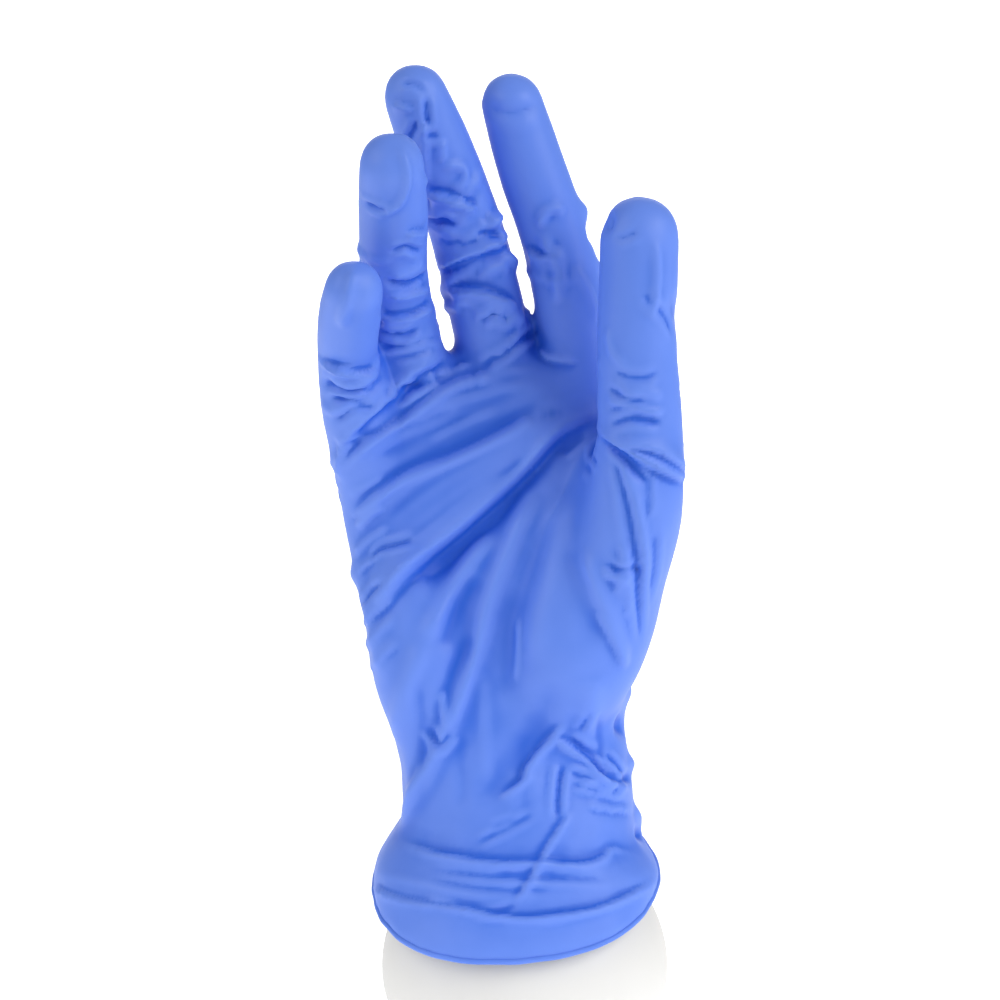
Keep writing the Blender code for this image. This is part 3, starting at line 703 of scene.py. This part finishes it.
SMALL_PALM = [
    # roots of the fingers
    ("crease", 1.2, 1.1, (4, 187), (-4, 181), (-12, 176)),
    ("lap", 1.0, 1.4, (3, 181.5), (6.5, 179), (14.5, 178)),
    ("lap", 1.1, 1.5, (-20.5, 183), (-30, 181.5), (-39, 179.5)),
    ("crease", 1.2, 1.2, (-20, 178), (-27, 173), (-35, 166)),
    ("crease", 1.2, 1.1, (-38.5, 166), (-45, 165.5), (-50, 161.5)),
    ("crease", 0.9, 1.1, (-44, 158), (-48.5, 155)),
    ("lap", 1.1, 1.2, (-48, 158), (-48.5, 147)),
    ("crease", 0.9, 1.0, (-40.5, 126), (-36.5, 129.5), (-28.5, 131.5)),
    # the web and the base of the thumb
    ("crease", 0.9, 1.0, (18.5, 157), (17.5, 154), (19, 151)),
    ("crease", 0.6, 1.2, (9, 153.5), (16, 159.5)),
    ("lap", 2.4, 2.1, (18, 160.5), (27, 155), (34, 150), (43.5, 146.5)),
    ("crease", 1.5, 1.2, (21, 157.5), (27, 152), (32, 145.5)),
    ("lap", 1.8, 1.7, (24, 157), (34.5, 155), (42.5, 149)),
    ("crease", 1.1, 1.1, (21.5, 161), (28, 163), (36, 161.5)),
    ("lap", 1.1, 1.2, (20.5, 166), (27, 167), (33, 164.5), (37, 165)),
    ("crease", 0.9, 1.1, (21, 171), (27, 167.5), (31, 168)),
    ("crease", 0.7, 1.1, (22.5, 175), (29.5, 173.5), (35, 175)),
    ("ridge", 0.8, 1.4, (24, 169.5), (31, 170), (36, 168)),
    ("crease", 1.2, 1.3, (22.5, 155), (27, 140), (29.5, 122), (30.5, 103)),
    ("ridge", 1.0, 1.5, (25, 152), (29.5, 138), (32, 122)),
    ("crease", 1.0, 1.0, (21, 126), (23.5, 123.5), (28.5, 123.5), (30.5, 121)),
    ("ridge", 0.8, 1.2, (20, 124), (24, 121), (28, 120.5)),
    # up the thumb
    ("ridge", 1.0, 1.2, (33.5, 210), (34, 200), (33, 188)),
    ("crease", 0.7, 1.0, (23, 209), (29.5, 211.5)),
    ("ridge", 0.6, 1.2, (21, 187), (22.5, 180), (27, 176.5)),
    ("crease", 0.7, 1.2, (30, 196), (36, 190), (38.5, 184)),
    # the middle finger
    ("lap", 2.8, 2.0, (-12, 216.5), (-18.5, 219.5), (-26, 220.5)),
    ("crease", 2.0, 1.2, (-26, 214), (-21.5, 214), (-17, 213.5)),
    ("ridge", 1.0, 1.0, (-22, 228), (-18.5, 228.5), (-15.5, 227.5), (-16, 224), (-19.5, 222)),
    ("lap", 2.6, 2.0, (-23, 201.5), (-15.5, 205), (-5.5, 208.5)),
    ("crease", 1.9, 1.2, (-13, 211), (-9, 211), (-6, 209)),
    ("lap", 2.6, 2.2, (-1.5, 192), (-8, 194.5), (-13.5, 196), (-20.5, 196)),
    ("crease", 1.4, 1.2, (-3, 189), (-8, 190), (-12, 188)),
    ("crease", 1.3, 1.0, (-25.5, 246), (-25, 238)),
    ("crease", 1.4, 1.0, (-27.5, 240), (-30, 235)),
    ("ridge", 1.2, 1.0, (-26.5, 241), (-25.5, 228), (-26, 222)),
    ("crease", 1.0, 1.0, (-26, 235.5), (-22, 236.5)),
    ("crease", 1.0, 1.0, (-32.5, 249.5), (-28.5, 249), (-25.5, 247.5)),
    ("lap", 1.3, 1.1, (-29, 242), (-34.5, 244.5)),
    ("ridge", 0.9, 1.0, (-21.5, 235), (-21.2, 229)),
    # the ring finger
    ("ridge", 1.3, 1.1, (-39, 219), (-36, 216.5), (-32, 219.5), (-30.5, 226), (-32.5, 235)),
    ("crease", 1.3, 1.1, (-42, 218.5), (-35, 216)),
    ("lap", 1.4, 1.3, (-25, 211.5), (-31, 210.5)),
    ("crease", 1.3, 1.1, (-35, 206), (-30.5, 207.5), (-26, 206)),
    ("crease", 1.9, 1.2, (-36, 199), (-30.5, 198), (-25, 200.5)),
    ("lap", 2.0, 1.9, (-24.5, 197), (-30.5, 195), (-36.5, 195.5)),
    ("lap", 2.0, 1.8, (-23.5, 193), (-28, 190), (-33, 189), (-38.5, 189.5)),
    ("crease", 1.4, 1.1, (-38, 186), (-32, 185), (-27, 187)),
    # the little finger
    ("ridge", 1.4, 1.5, (-43.5, 203), (-45.5, 196), (-48, 186)),
    ("lap", 2.0, 1.8, (-38, 175), (-46, 175.5), (-52.5, 177.5)),
    ("crease", 1.7, 1.2, (-40, 171), (-46, 170.5), (-52, 172)),
    ("crease", 1.7, 1.2, (-40, 168), (-45, 167.5), (-51, 169)),
    # the index finger
    ("ridge", 1.4, 1.2, (3.5, 212), (4.5, 215.5), (7, 217), (10.5, 216)),
    ("ridge", 1.6, 1.5, (4.5, 212), (6, 207), (8.5, 204), (8.3, 192)),
    ("lap", 1.7, 1.7, (9, 204.5), (4, 205), (0, 207)),
    ("ridge", 1.0, 1.5, (12, 203), (16.5, 196), (18.5, 187)),
    ("crease", 0.7, 2.0, (-10, 243.5), (-3.5, 242), (4, 244)),
    # the wrist
    ("crease", 1.2, 1.3, (-25.5, 82.5), (-22.5, 77.5), (-19, 81)),
    ("ridge", 1.0, 1.1, (-22, 92), (-21.2, 86), (-20.4, 81)),
    ("lap", 2.0, 1.6, (11, 83.5), (7, 79), (1, 71.5), (-0.5, 67.5), (-7, 62.5)),
    ("lap", 1.9, 1.7, (29, 67), (22, 67.5), (17, 72.5), (11.5, 77), (6, 79.5)),
    ("crease", 1.3, 1.0, (10, 72.5), (8.8, 66.5), (8.5, 57)),
    ("lap", 1.5, 1.1, (13, 60.5), (8.5, 54), (4.5, 47.5), (1, 41), (-3, 34.5)),
    ("crease", 1.0, 1.0, (17, 74.5), (21.5, 68.5)),
    ("crease", 1.2, 1.0, (21.5, 75.5), (26.5, 70)),
    ("crease", 0.8, 1.0, (17.5, 86), (14.5, 80.5)),
    ("crease", 1.0, 1.0, (22, 64), (26, 68)),
    ("ridge", 0.8, 1.2, (14, 66), (19, 68), (24, 66)),
    ("crease", 0.6, 0.9, (-13, 51), (-5, 55), (3, 59.5)),
    ("crease", 0.5, 0.9, (-9, 55), (-2, 58)),
    ("ridge", 0.9, 1.3, (19, 113), (24, 104), (27, 97)),
    ("ridge", 0.5, 1.0, (-1.5, 112), (-2.2, 93)),
    # round the cuff
    ("lap", 1.5, 1.6, (29.5, 48), (23, 49.5), (20, 47), (14.5, 45.5), (4.5, 46), (-5.5, 46),
     (-15.5, 47), (-25, 49), (-33, 52)),
    ("crease", 0.6, 1.0, (-25, 44.5), (-10, 42.5), (2, 42), (22, 42)),
    ("lap", 1.5, 1.4, (34.5, 43.5), (26.5, 38.5), (17.5, 34), (8, 32), (-1.5, 31), (-12, 33),
     (-18, 34), (-26, 35)),
    ("lap", 0.8, 1.4, (-20, 34.5), (-30, 36.5), (-38, 40)),
    ("crease", 0.7, 0.9, (-12, 33), (-7, 33), (-2, 35)),
    # outlines
    ("tuck", 1.2, 2.4, (29, 91)),
    ("tuck", -2.2, 2.8, (25.5, 82.5)),
    ("tuck", 1.4, 2.2, (28.5, 72.5)),
    ("tuck", -1.3, 1.4, (27, 68.5)),
    ("tuck", 1.6, 2.6, (31.5, 59)),
    ("tuck", -1.4, 1.8, (30, 53.5)),
    ("tuck", 1.6, 2.4, (42, 147.5)),
    ("tuck", -1.0, 4.0, (39, 190)),
    ("tuck", 1.3, 2.6, (29.5, 222)),
    ("tuck", -1.5, 2.4, (21, 214)),
    ("tuck", -1.3, 2.4, (38, 217)),
    ("tuck", 2.4, 1.6, (-8, 214.5)),
    ("tuck", 1.8, 1.5, (-6.5, 209.5)),
    ("tuck", 2.0, 1.8, (-4, 204)),
    ("tuck", 0.8, 1.6, (-24, 196)),
    ("tuck", 1.0, 2.0, (-54, 178.5)),
    ("tuck", -1.0, 1.4, (-51, 172)),
    ("tuck", 1.0, 2.5, (-49, 152)),
    ("tuck", 1.1, 2.5, (-46, 122)),
    ("tuck", -1.0, 2.5, (-38, 84)),
]
# slanting over the palm from the web of the thumb
SMALL_PALM += family(
    11, 5, [(8, 168), (-20, 156), (-44, 140)], [(0, 144), (-18, 128), (-36, 110)],
    (0.15, 0.35), (1.2, 2.2), (0.4, 0.9), SOFT_KINDS
)
# below the roots of the fingers
SMALL_PALM += family(
    12, 6, [(6, 176), (-18, 174), (-44, 162)], [(8, 171), (-18, 160), (-46, 146)],
    (0.25, 0.5), (1.1, 1.8)
)
# short ones across the little finger's side
SMALL_PALM += family(
    13, 9, [(-47, 146), (-42, 150), (-36, 153)], [(-42, 92), (-37, 98), (-31, 104)],
    (0.4, 0.9), (0.8, 1.5), (0.6, 0.95)
)
# down the thumb's mound
SMALL_PALM += family(
    14, 8, [(22, 154), (24, 132), (22, 106)], [(38, 150), (36, 124), (30, 98)],
    (0.3, 0.7), (1.0, 2.0), (0.2, 0.6)
)
# from the heel of the hand to the cuff
SMALL_PALM += family(
    15, 8, [(-37, 100), (-35, 76), (-38, 54)], [(24, 98), (23, 78), (28, 54)],
    (0.2, 0.5), (1.4, 2.8), (0.4, 0.8), SOFT_KINDS
)
# across the wrist on the thumb's side
SMALL_PALM += family(
    16, 8, [(10, 80), (19, 76), (27, 76)], [(12, 62), (20, 60), (31, 58)],
    (0.4, 0.9), (0.8, 1.3), (0.4, 0.9)
)
# round the cuff
SMALL_PALM += family(
    17, 6, [(-37, 49), (0, 46), (34, 49)], [(-37, 39), (0, 28), (33, 41)],
    (0.2, 0.5), (0.9, 1.6), (0.2, 0.5)
)
print("folds on the palm side:", len(BIG_PALM), "big and", len(SMALL_PALM), "small")

# %% [markdown]
# Film on a finger bunches below the joints: short rings that go part of the way round. They are
# laid by angle round the finger's own line of bones, so that they also show from the side and
# the back.

# %% Rings round the fingers
WALL_REACH = 0.022  # further out from the bones than the film of any finger
# of each digit: its root, the lengths of its bones, how far they lean towards the thumb's side
# and how far they bend towards the palm, in degrees
BONES = {
    "index": ((17.5, 0.5, 158), (46, 26.5, 17), (-10, -18, -17), (4, 8, 9)),
    "middle": ((-3.5, 1.5, 161), (47, 28.5, 16), (-12.5, -19, -21), (8, 17, 22)),
    "ring": ((-24, 0.5, 154), (44.5, 28.5, 16), (-12, -1, 0), (19, 38, 44)),
    "little": ((-38, -1.5, 143), (37.5, 20.5, 13.5), (-11.5, 2, 11), (27, 44, 52)),
    "thumb": ((7.5, -6, 84), (64, 42, 27.5), (19.2, 0, 1), (14.5, 9, 6)),
}


def bone_line(name):
    """The line of bones of one digit, at even steps in millimetres, root first."""
    root, lengths, leans, bends = BONES[name]
    joints = [np.array(root, float)]
    for length, lean, bend in zip(lengths, np.radians(leans), np.radians(bends)):
        way = (math.sin(lean) * math.cos(bend), -math.sin(bend), math.cos(lean) * math.cos(bend))
        joints.append(joints[-1] + length * np.array(way))
    return smooth_line(joints, 1.0)[0]


def ring_path(tree, line, at, turn, span, slant):
    """Where a ring lies on the film: at is millimetres below the tip, turn the angle of its
    middle from the palm side towards the thumb side, and slant how far its ends differ."""
    path = []
    for angle in np.linspace(-span / 2, span / 2, max(8, int(span / 5))):
        below = at + slant * math.sin(math.radians(angle))
        n = int(np.clip(len(line) - 1 - below, 1, len(line) - 2))
        along = Vector(line[n + 1] - line[n - 1]).normalized()
        front = (Vector((0, -1, 0)) - along * along.dot(Vector((0, -1, 0)))).normalized()
        away = math.radians(turn + angle)
        out = front * math.cos(away) + along.cross(front) * -math.sin(away)
        middle = Vector(line[n]) * MM
        spot, normal, _, _ = tree.ray_cast(middle, out, WALL_REACH)
        if spot is not None:
            path.append((*spot, *normal))
    return np.array(path)


def ring_folds(seed, name, count, low, high, height, width, turns=(-180, 180)):
    """Rings on one digit, from low to high millimetres below its tip."""
    rng = np.random.default_rng(seed)
    rings = []
    for n in range(count):
        at = low + (high - low) * (n + rng.uniform(0.1, 0.9)) / count
        kind = rng.choice(SHARP_KINDS)
        sizes = (rng.uniform(*height), rng.uniform(*width))
        spread = (rng.uniform(*turns), rng.uniform(50, 150), rng.normal(0, 3.0))
        rings.append((name, kind, *sizes, at, *spread))
    return rings


def lay_rings(piece, rings):
    tree = surface_of(piece)
    points, normals = points_of(piece.data), normals_of(piece.data)
    lift = np.zeros(len(points))
    for name, kind, height, width, at, turn, span, slant in rings:
        path = ring_path(tree, bone_line(name), at, turn, span, slant)
        if len(path) > 4:
            lift += fold_lift(points, normals, path, kind, height, width, 0.3)
    set_points(piece.data, points + normals * lift[:, None])


RINGS = ring_folds(21, "index", 7, 40, 82, (0.3, 0.7), (1.0, 1.8))
RINGS += ring_folds(22, "middle", 12, 24, 74, (0.7, 1.4), (1.0, 1.9))
RINGS += ring_folds(23, "ring", 11, 24, 72, (0.6, 1.3), (1.0, 1.8))
RINGS += ring_folds(24, "little", 11, 22, 66, (0.5, 1.1), (0.9, 1.7))
RINGS += ring_folds(25, "thumb", 8, 30, 64, (0.3, 0.7), (0.9, 1.6), (90, 270))
print("rings round the fingers:", len(RINGS))

# %% [markdown]
# The back of the hand is stretched smoother than the palm. Its folds run from the knuckles to the
# wrist, gather where the wrist narrows, and cross the cuff.

# %% The folds of the back
BACK_EYE = Vector((0.0, 0.95, 0.24))
BIG_BACK = [
    ("ridge", 0.7, 5.0, (16, 150), (14, 130), (9, 110), (2, 92)),
    ("ridge", 0.6, 5.0, (-16, 148), (-20, 128), (-20, 106), (-14, 90)),
    ("valley", 0.6, 5.0, (-30, 140), (-32, 120), (-27, 98)),
    ("lap", 1.6, 3.0, (33, 128), (24, 116), (8, 106), (-8, 101)),
    ("lap", 1.3, 2.6, (-38, 112), (-29, 101), (-14, 93), (4, 90)),
    ("ridge", 1.0, 2.4, (30, 112), (21, 102), (12, 96)),
    ("ridge", 1.4, 3.0, (-30, 90), (-21, 80), (-10, 72), (-4, 66)),
    ("valley", 1.0, 3.0, (24, 88), (14, 78), (4, 73)),
]
# down from the knuckles
SMALL_BACK = family(
    31, 7, [(28, 150), (6, 132), (-10, 118)], [(-40, 140), (-30, 118), (-10, 104)],
    (0.2, 0.45), (1.4, 2.6), (0.3, 0.7), SOFT_KINDS
)
# across the wrist, in from the thumb's side and from the little finger's side
SMALL_BACK += family(
    32, 8, [(28, 98), (12, 90), (-8, 88)], [(24, 72), (4, 66), (-14, 68)],
    (0.3, 0.8), (1.0, 1.8), (0.3, 0.8)
)
SMALL_BACK += family(
    33, 8, [(-36, 100), (-26, 90), (-8, 84)], [(-34, 70), (-20, 66), (-4, 64)],
    (0.3, 0.8), (1.0, 1.8), (0.3, 0.8)
)
print("folds on the back:", len(BIG_BACK), "big and", len(SMALL_BACK), "small")

# %% [markdown]
# The big folds are laid and eased first, so that the small ones lie on them. Last, the film is
# pushed off the hand wherever a valley would have gone into it.

# %% The folds are laid
GAP = 0.3  # least gap between the film and the cast hand, in millimetres


def settle(piece, pull, push):
    """Eases the sharpest edges of the folds."""
    set_points(piece.data, relaxed(points_of(piece.data), edges_of(piece.data), 4, pull, push))


def push_off(piece, shape):
    """Pushes a piece's points out until they are the gap outside a closed shape."""
    tree = surface_of(shape)
    points = points_of(piece.data)
    pushed = 0
    for n, point in enumerate(points):
        spot, normal, _, far = tree.find_nearest(Vector(point))
        out = math.copysign(far, (Vector(point) - spot).dot(normal))
        if out < GAP * MM:
            points[n] += np.array(normal) * (GAP * MM - out)
            pushed += 1
    set_points(piece.data, points)
    return pushed


lay_folds(film, BIG_PALM, seed=1)
lay_folds(film, BIG_BACK, seed=2, eye=BACK_EYE)
settle(film, 0.5, -0.51)
lay_folds(film, SMALL_PALM, seed=3)
lay_folds(film, SMALL_BACK, seed=4, eye=BACK_EYE)
lay_rings(film, RINGS)
settle(film, 0.45, -0.46)
print("points pushed off the hand:", push_off(film, hand))

# %% [markdown]
# The cuff is trimmed level with a slanted plane, a little above the CAD glove's own edge. What is
# below the cut goes, and with it the closed underside that the net needed.

# %% The trimmed edge
BEAD = 0.75  # radius in millimetres
TRIM = 0.6  # from the CAD glove's edge to the bead
shape = bmesh.new()
shape.from_mesh(film.data)
cut_below(shape, (TRIM + BEAD) * MM)
fingertip = max(shape.verts, key=lambda v: v.co.z)
kept, front = set(), {fingertip}
while front:
    kept |= front
    front = {e.other_vert(v) for v in front for e in v.link_edges} - kept
bmesh.ops.delete(shape, geom=[v for v in shape.verts if v not in kept], context="VERTS")
shape.to_mesh(film.data)
shape.free()
print("the trimmed film has", len(film.data.polygons), "faces")

# %% [markdown]
# The bead at the cuff's edge is moulded wider than a wrist, so the last part of the cuff stands
# away from it like a shallow bell. It starts higher on the little finger's side.

# %% The cuff springs open
BELL_TOP, BELL_SLANT, BELL_FULL = 56.5, 0.1, 45.0
FLARE = np.array([0.10, 0.05, 0.0])  # share of x, y and z that is added
points = points_of(film.data)
x, _, z = points.T / MM
spring = fade(z, BELL_TOP - BELL_SLANT * x, BELL_FULL)
set_points(film.data, points * (1 + spring[:, None] * FLARE))
print("the cuff opens by", round(float((FLARE[0] * spring * np.abs(x)).max()), 1), "mm a side")

# %% [markdown]
# The maker finishes the edge by rolling the wet film up on itself. That rolled bead keeps the
# cuff from tearing and is the thickest part of the glove. Here it is a round tube that follows
# the trimmed edge.

# %% The rolled bead
BEAD_STEP = 1.2  # millimetres between the points of its line
shape = bmesh.new()
shape.from_mesh(film.data)
edge = [e for e in shape.edges if e.is_boundary]
corner = edge[0].verts[0]
loop, passed = [corner], set()
while True:
    onward = [e for e in corner.link_edges if e.is_boundary and e not in passed]
    if not onward:
        break
    passed.add(onward[0])
    corner = onward[0].other_vert(corner)
    loop.append(corner)
loop = np.array([v.co for v in loop[:-1]])
shape.free()
count = int(np.linalg.norm(loop - np.roll(loop, 1, axis=0), axis=1).sum() / (BEAD_STEP * MM))
pick = np.linspace(0, len(loop), count, endpoint=False).astype(int)
loop = loop[pick]
for _ in range(3):
    loop = (loop * 2 + np.roll(loop, 1, axis=0) + np.roll(loop, -1, axis=0)) / 4
roll = bpy.data.curves.new("cuff_bead", "CURVE")
roll.dimensions = "3D"
roll.bevel_depth = BEAD * MM
roll.bevel_resolution = 4
spline = roll.splines.new("POLY")
spline.points.add(len(loop) - 1)
for knot, place in zip(spline.points, loop):
    knot.co = (*place, 1.0)
spline.use_cyclic_u = True
bead = bpy.data.objects.new("cuff_bead", roll)
scene.collection.objects.link(bead)
select_only(bead)
bpy.ops.object.convert(target="MESH")
print("the cuff's edge is", round(count * BEAD_STEP), "mm round")

# %% [markdown]
# The film's colour carries painted shade in its hollows and painted light on its ridges, so every point
# is told how hollow the film is there: how far the film around it stands further out, near by for
# creases and wider for the big folds.

# %% Hollows and ridges for the painted shade and light
CREASES = (10, 0.25)  # rounds and depth
BIG_FOLDS = (140, 1.9)


def hollow_of(piece, rounds, depth):
    """Below 0 on a ridge and 1 in a hollow of the given depth in millimetres. The more rounds, the
    wider the part of the film that a point is measured against."""
    points = points_of(piece.data)
    around = relaxed(points, edges_of(piece.data), rounds, 0.5)
    sunk = ((around - points) * normals_of(piece.data)).sum(axis=1)
    return sunk / (depth * MM)


# the finish paints shade where this is above 0 and light where it is below 0
hollow = np.tanh(hollow_of(film, *CREASES) + hollow_of(film, *BIG_FOLDS))
film.data.attributes.new("hollow", "FLOAT", "POINT").data.foreach_set("value", hollow)
print("share of the film in hollows:", round(float((hollow > 0.3).mean()), 2))

# %% [markdown]
# The foot is turned, so its finished shape is one outline taken once round. It closes at a small
# lip round the bottom plate and carries the flanged bush in a recess on its flat top.

# %% The turned foot
FOOT_RADIUS, FOOT_WIDEST, FOOT_TOP, NECK = 37.6, 18.5, 47.0, 22.86
FOOT_LIP, FOOT_UNDERCUT = 1.2, 32.3
FOOT_WALL, ROOM_FLOOR, ROOM_TOP = 2.6, 7.3, 42.6
PLATE_SEAT, PLATE_TOP, PLATE_SHELF = 28.8, 5.8, 27.2
BUSH_BORE, FLANGE_RECESS, RECESS_FLOOR = 7.2, 12.3, 45.6
crown = (FOOT_TOP - FOOT_WIDEST) / math.sqrt(1 - (NECK / FOOT_RADIUS) ** 2)


def foot_radius(height, wall=0.0):
    reach = (crown if height > FOOT_WIDEST else FOOT_UNDERCUT) - wall
    return (FOOT_RADIUS - wall) * math.sqrt(1 - ((height - FOOT_WIDEST) / reach) ** 2)


# the recess of the bush, with a small bevel, and the flat top round it
outline = [(BUSH_BORE, RECESS_FLOOR), (FLANGE_RECESS, RECESS_FLOOR)]
outline += [(FLANGE_RECESS, FOOT_TOP - 0.25), (FLANGE_RECESS + 0.25, FOOT_TOP)]
outline += [(NECK - 1.0, FOOT_TOP), (NECK - 0.35, FOOT_TOP - 0.12)]
# down the outside to the lip, and in under the seat of the plate
outline += [(foot_radius(z), z) for z in np.linspace(FOOT_TOP - 0.5, FOOT_LIP + 0.4, 60)]
outline += [(foot_radius(FOOT_LIP) - 0.5, FOOT_LIP), (PLATE_SEAT, FOOT_LIP)]
outline += [(PLATE_SEAT, PLATE_TOP), (PLATE_SHELF, PLATE_TOP), (PLATE_SHELF, ROOM_FLOOR)]
# and up the inside
outline += [(foot_radius(z, FOOT_WALL), z) for z in np.linspace(ROOM_FLOOR, ROOM_TOP, 20)]
outline += [(BUSH_BORE, ROOM_TOP)]
mesh = bpy.data.meshes.new("display_foot")
mesh.from_pydata(
    [(r * MM, 0, z * MM) for r, z in outline],
    [(n, (n + 1) % len(outline)) for n in range(len(outline))],
    [],
)
foot = bpy.data.objects.new("display_foot", mesh)
scene.collection.objects.link(foot)
select_only(foot)
bpy.ops.object.mode_set(mode="EDIT")
bpy.ops.mesh.select_all(action="SELECT")
bpy.ops.mesh.spin(steps=144, angle=2 * math.pi, center=(0, 0, 0), axis=(0, 0, 1))
bpy.ops.mesh.select_all(action="SELECT")
bpy.ops.mesh.remove_doubles(threshold=0.001 * MM)
bpy.ops.mesh.normals_make_consistent(inside=False)
bpy.ops.object.mode_set(mode="OBJECT")
print("the foot has", len(foot.data.polygons), "faces")

# %% [markdown]
# The parts inside the foot keep their CAD shapes, and each gets the finish of its own stuff:
# natural nylon for the bush, zinc plate for the bolt, washers and screws, brass for the insert,
# rough cast iron for the weight, black board for the plate and rubber for the pad.

# %% Finishes of the hidden parts


def nylon():
    g = Graph("nylon")
    cloud = g.noise(g.place(), 220.0, 2.0)
    colour = g.mixed(cloud, (0.80, 0.78, 0.70), (0.86, 0.84, 0.78))
    return g.finish(Base_Color=colour, Roughness=0.36 + 0.10 * cloud, Normal=g.bump(cloud, 0.02, 0.3))


def plated(name, first, second, rough):
    """Metal with the faint lines of a lathe round the upright axis."""
    g = Graph(name)
    cloud = g.noise(g.place(), 140.0, 4.0)
    turned = g.noise(g.stretched((1.0, 1.0, 14.0)), 500.0, 2.0)
    colour = g.mixed(cloud.clamped(0.3, 0.7), first, second)
    lines = g.bump(turned, 0.015, 0.4)
    return g.finish(Base_Color=colour, Roughness=rough + 0.14 * cloud, Metallic=1.0, Normal=lines)


def cast_iron():
    g = Graph("cast_iron")
    grain = g.noise(g.place(), 700.0, 5.0, 0.7)
    cloud = g.noise(g.place(), 90.0, 3.0)
    colour = g.mixed(cloud.clamped(0.35, 0.7), (0.090, 0.088, 0.088), (0.150, 0.135, 0.120))
    rough = g.bump(grain, 0.12, 0.8)
    return g.finish(Base_Color=colour, Roughness=0.62 + 0.25 * grain, Metallic=0.7, Normal=rough)


def dull(name, first, second, rough, scale, depth):
    """Board and rubber: an even colour with a fine grain."""
    g = Graph(name)
    grain = g.noise(g.place(), scale, 4.0, 0.6)
    colour = g.mixed(grain.clamped(0.3, 0.7), first, second)
    return g.finish(Base_Color=colour, Roughness=rough + 0.12 * grain, Normal=g.bump(grain, depth, 0.6))


zinc = plated("zinc_plate", (0.56, 0.57, 0.58), (0.66, 0.67, 0.68), 0.26)
brass = plated("brass", (0.70, 0.50, 0.22), (0.80, 0.62, 0.32), 0.24)
board = dull("black_board", (0.050, 0.050, 0.054), (0.085, 0.084, 0.086), 0.55, 900.0, 0.04)
rubber = dull("rubber", (0.030, 0.030, 0.033), (0.052, 0.051, 0.053), 0.74, 500.0, 0.06)
finishes = {
    "pivot_bush": nylon(), "pivot_bolt": zinc, "spring_washer": zinc, "pivot_washer": zinc,
    "plate_screw_1": zinc, "plate_screw_2": zinc, "plate_screw_3": zinc, "wrist_insert": brass,
    "ballast_weight": cast_iron(), "bottom_plate": board, "foot_pad": rubber,
}


def coat(piece, finish):
    piece.data.materials.clear()
    piece.data.materials.append(finish)


for name, finish in finishes.items():
    coat(nodes[name], finish)
shown = {film: film_finish, bead: film_finish, hand: white_finish, foot: white_finish}
for piece, finish in shown.items():
    coat(piece, finish)
    piece.data.shade_smooth()
for piece, edge in ((foot, 35), (hand, 45)):
    select_only(piece)
    bpy.ops.object.shade_smooth_by_angle(angle=math.radians(edge))
print("pieces with a finish:", len(finishes) + len(shown))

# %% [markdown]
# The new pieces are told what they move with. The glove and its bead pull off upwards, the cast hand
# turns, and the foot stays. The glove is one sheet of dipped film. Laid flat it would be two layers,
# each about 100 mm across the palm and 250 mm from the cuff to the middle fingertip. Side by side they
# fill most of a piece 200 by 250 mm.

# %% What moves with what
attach(film, "glove_body")
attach(bead, "glove_body")
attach(hand, "hand")
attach(foot, "foot")
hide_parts("glove")
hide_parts("hand_form")
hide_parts("foot_shell")
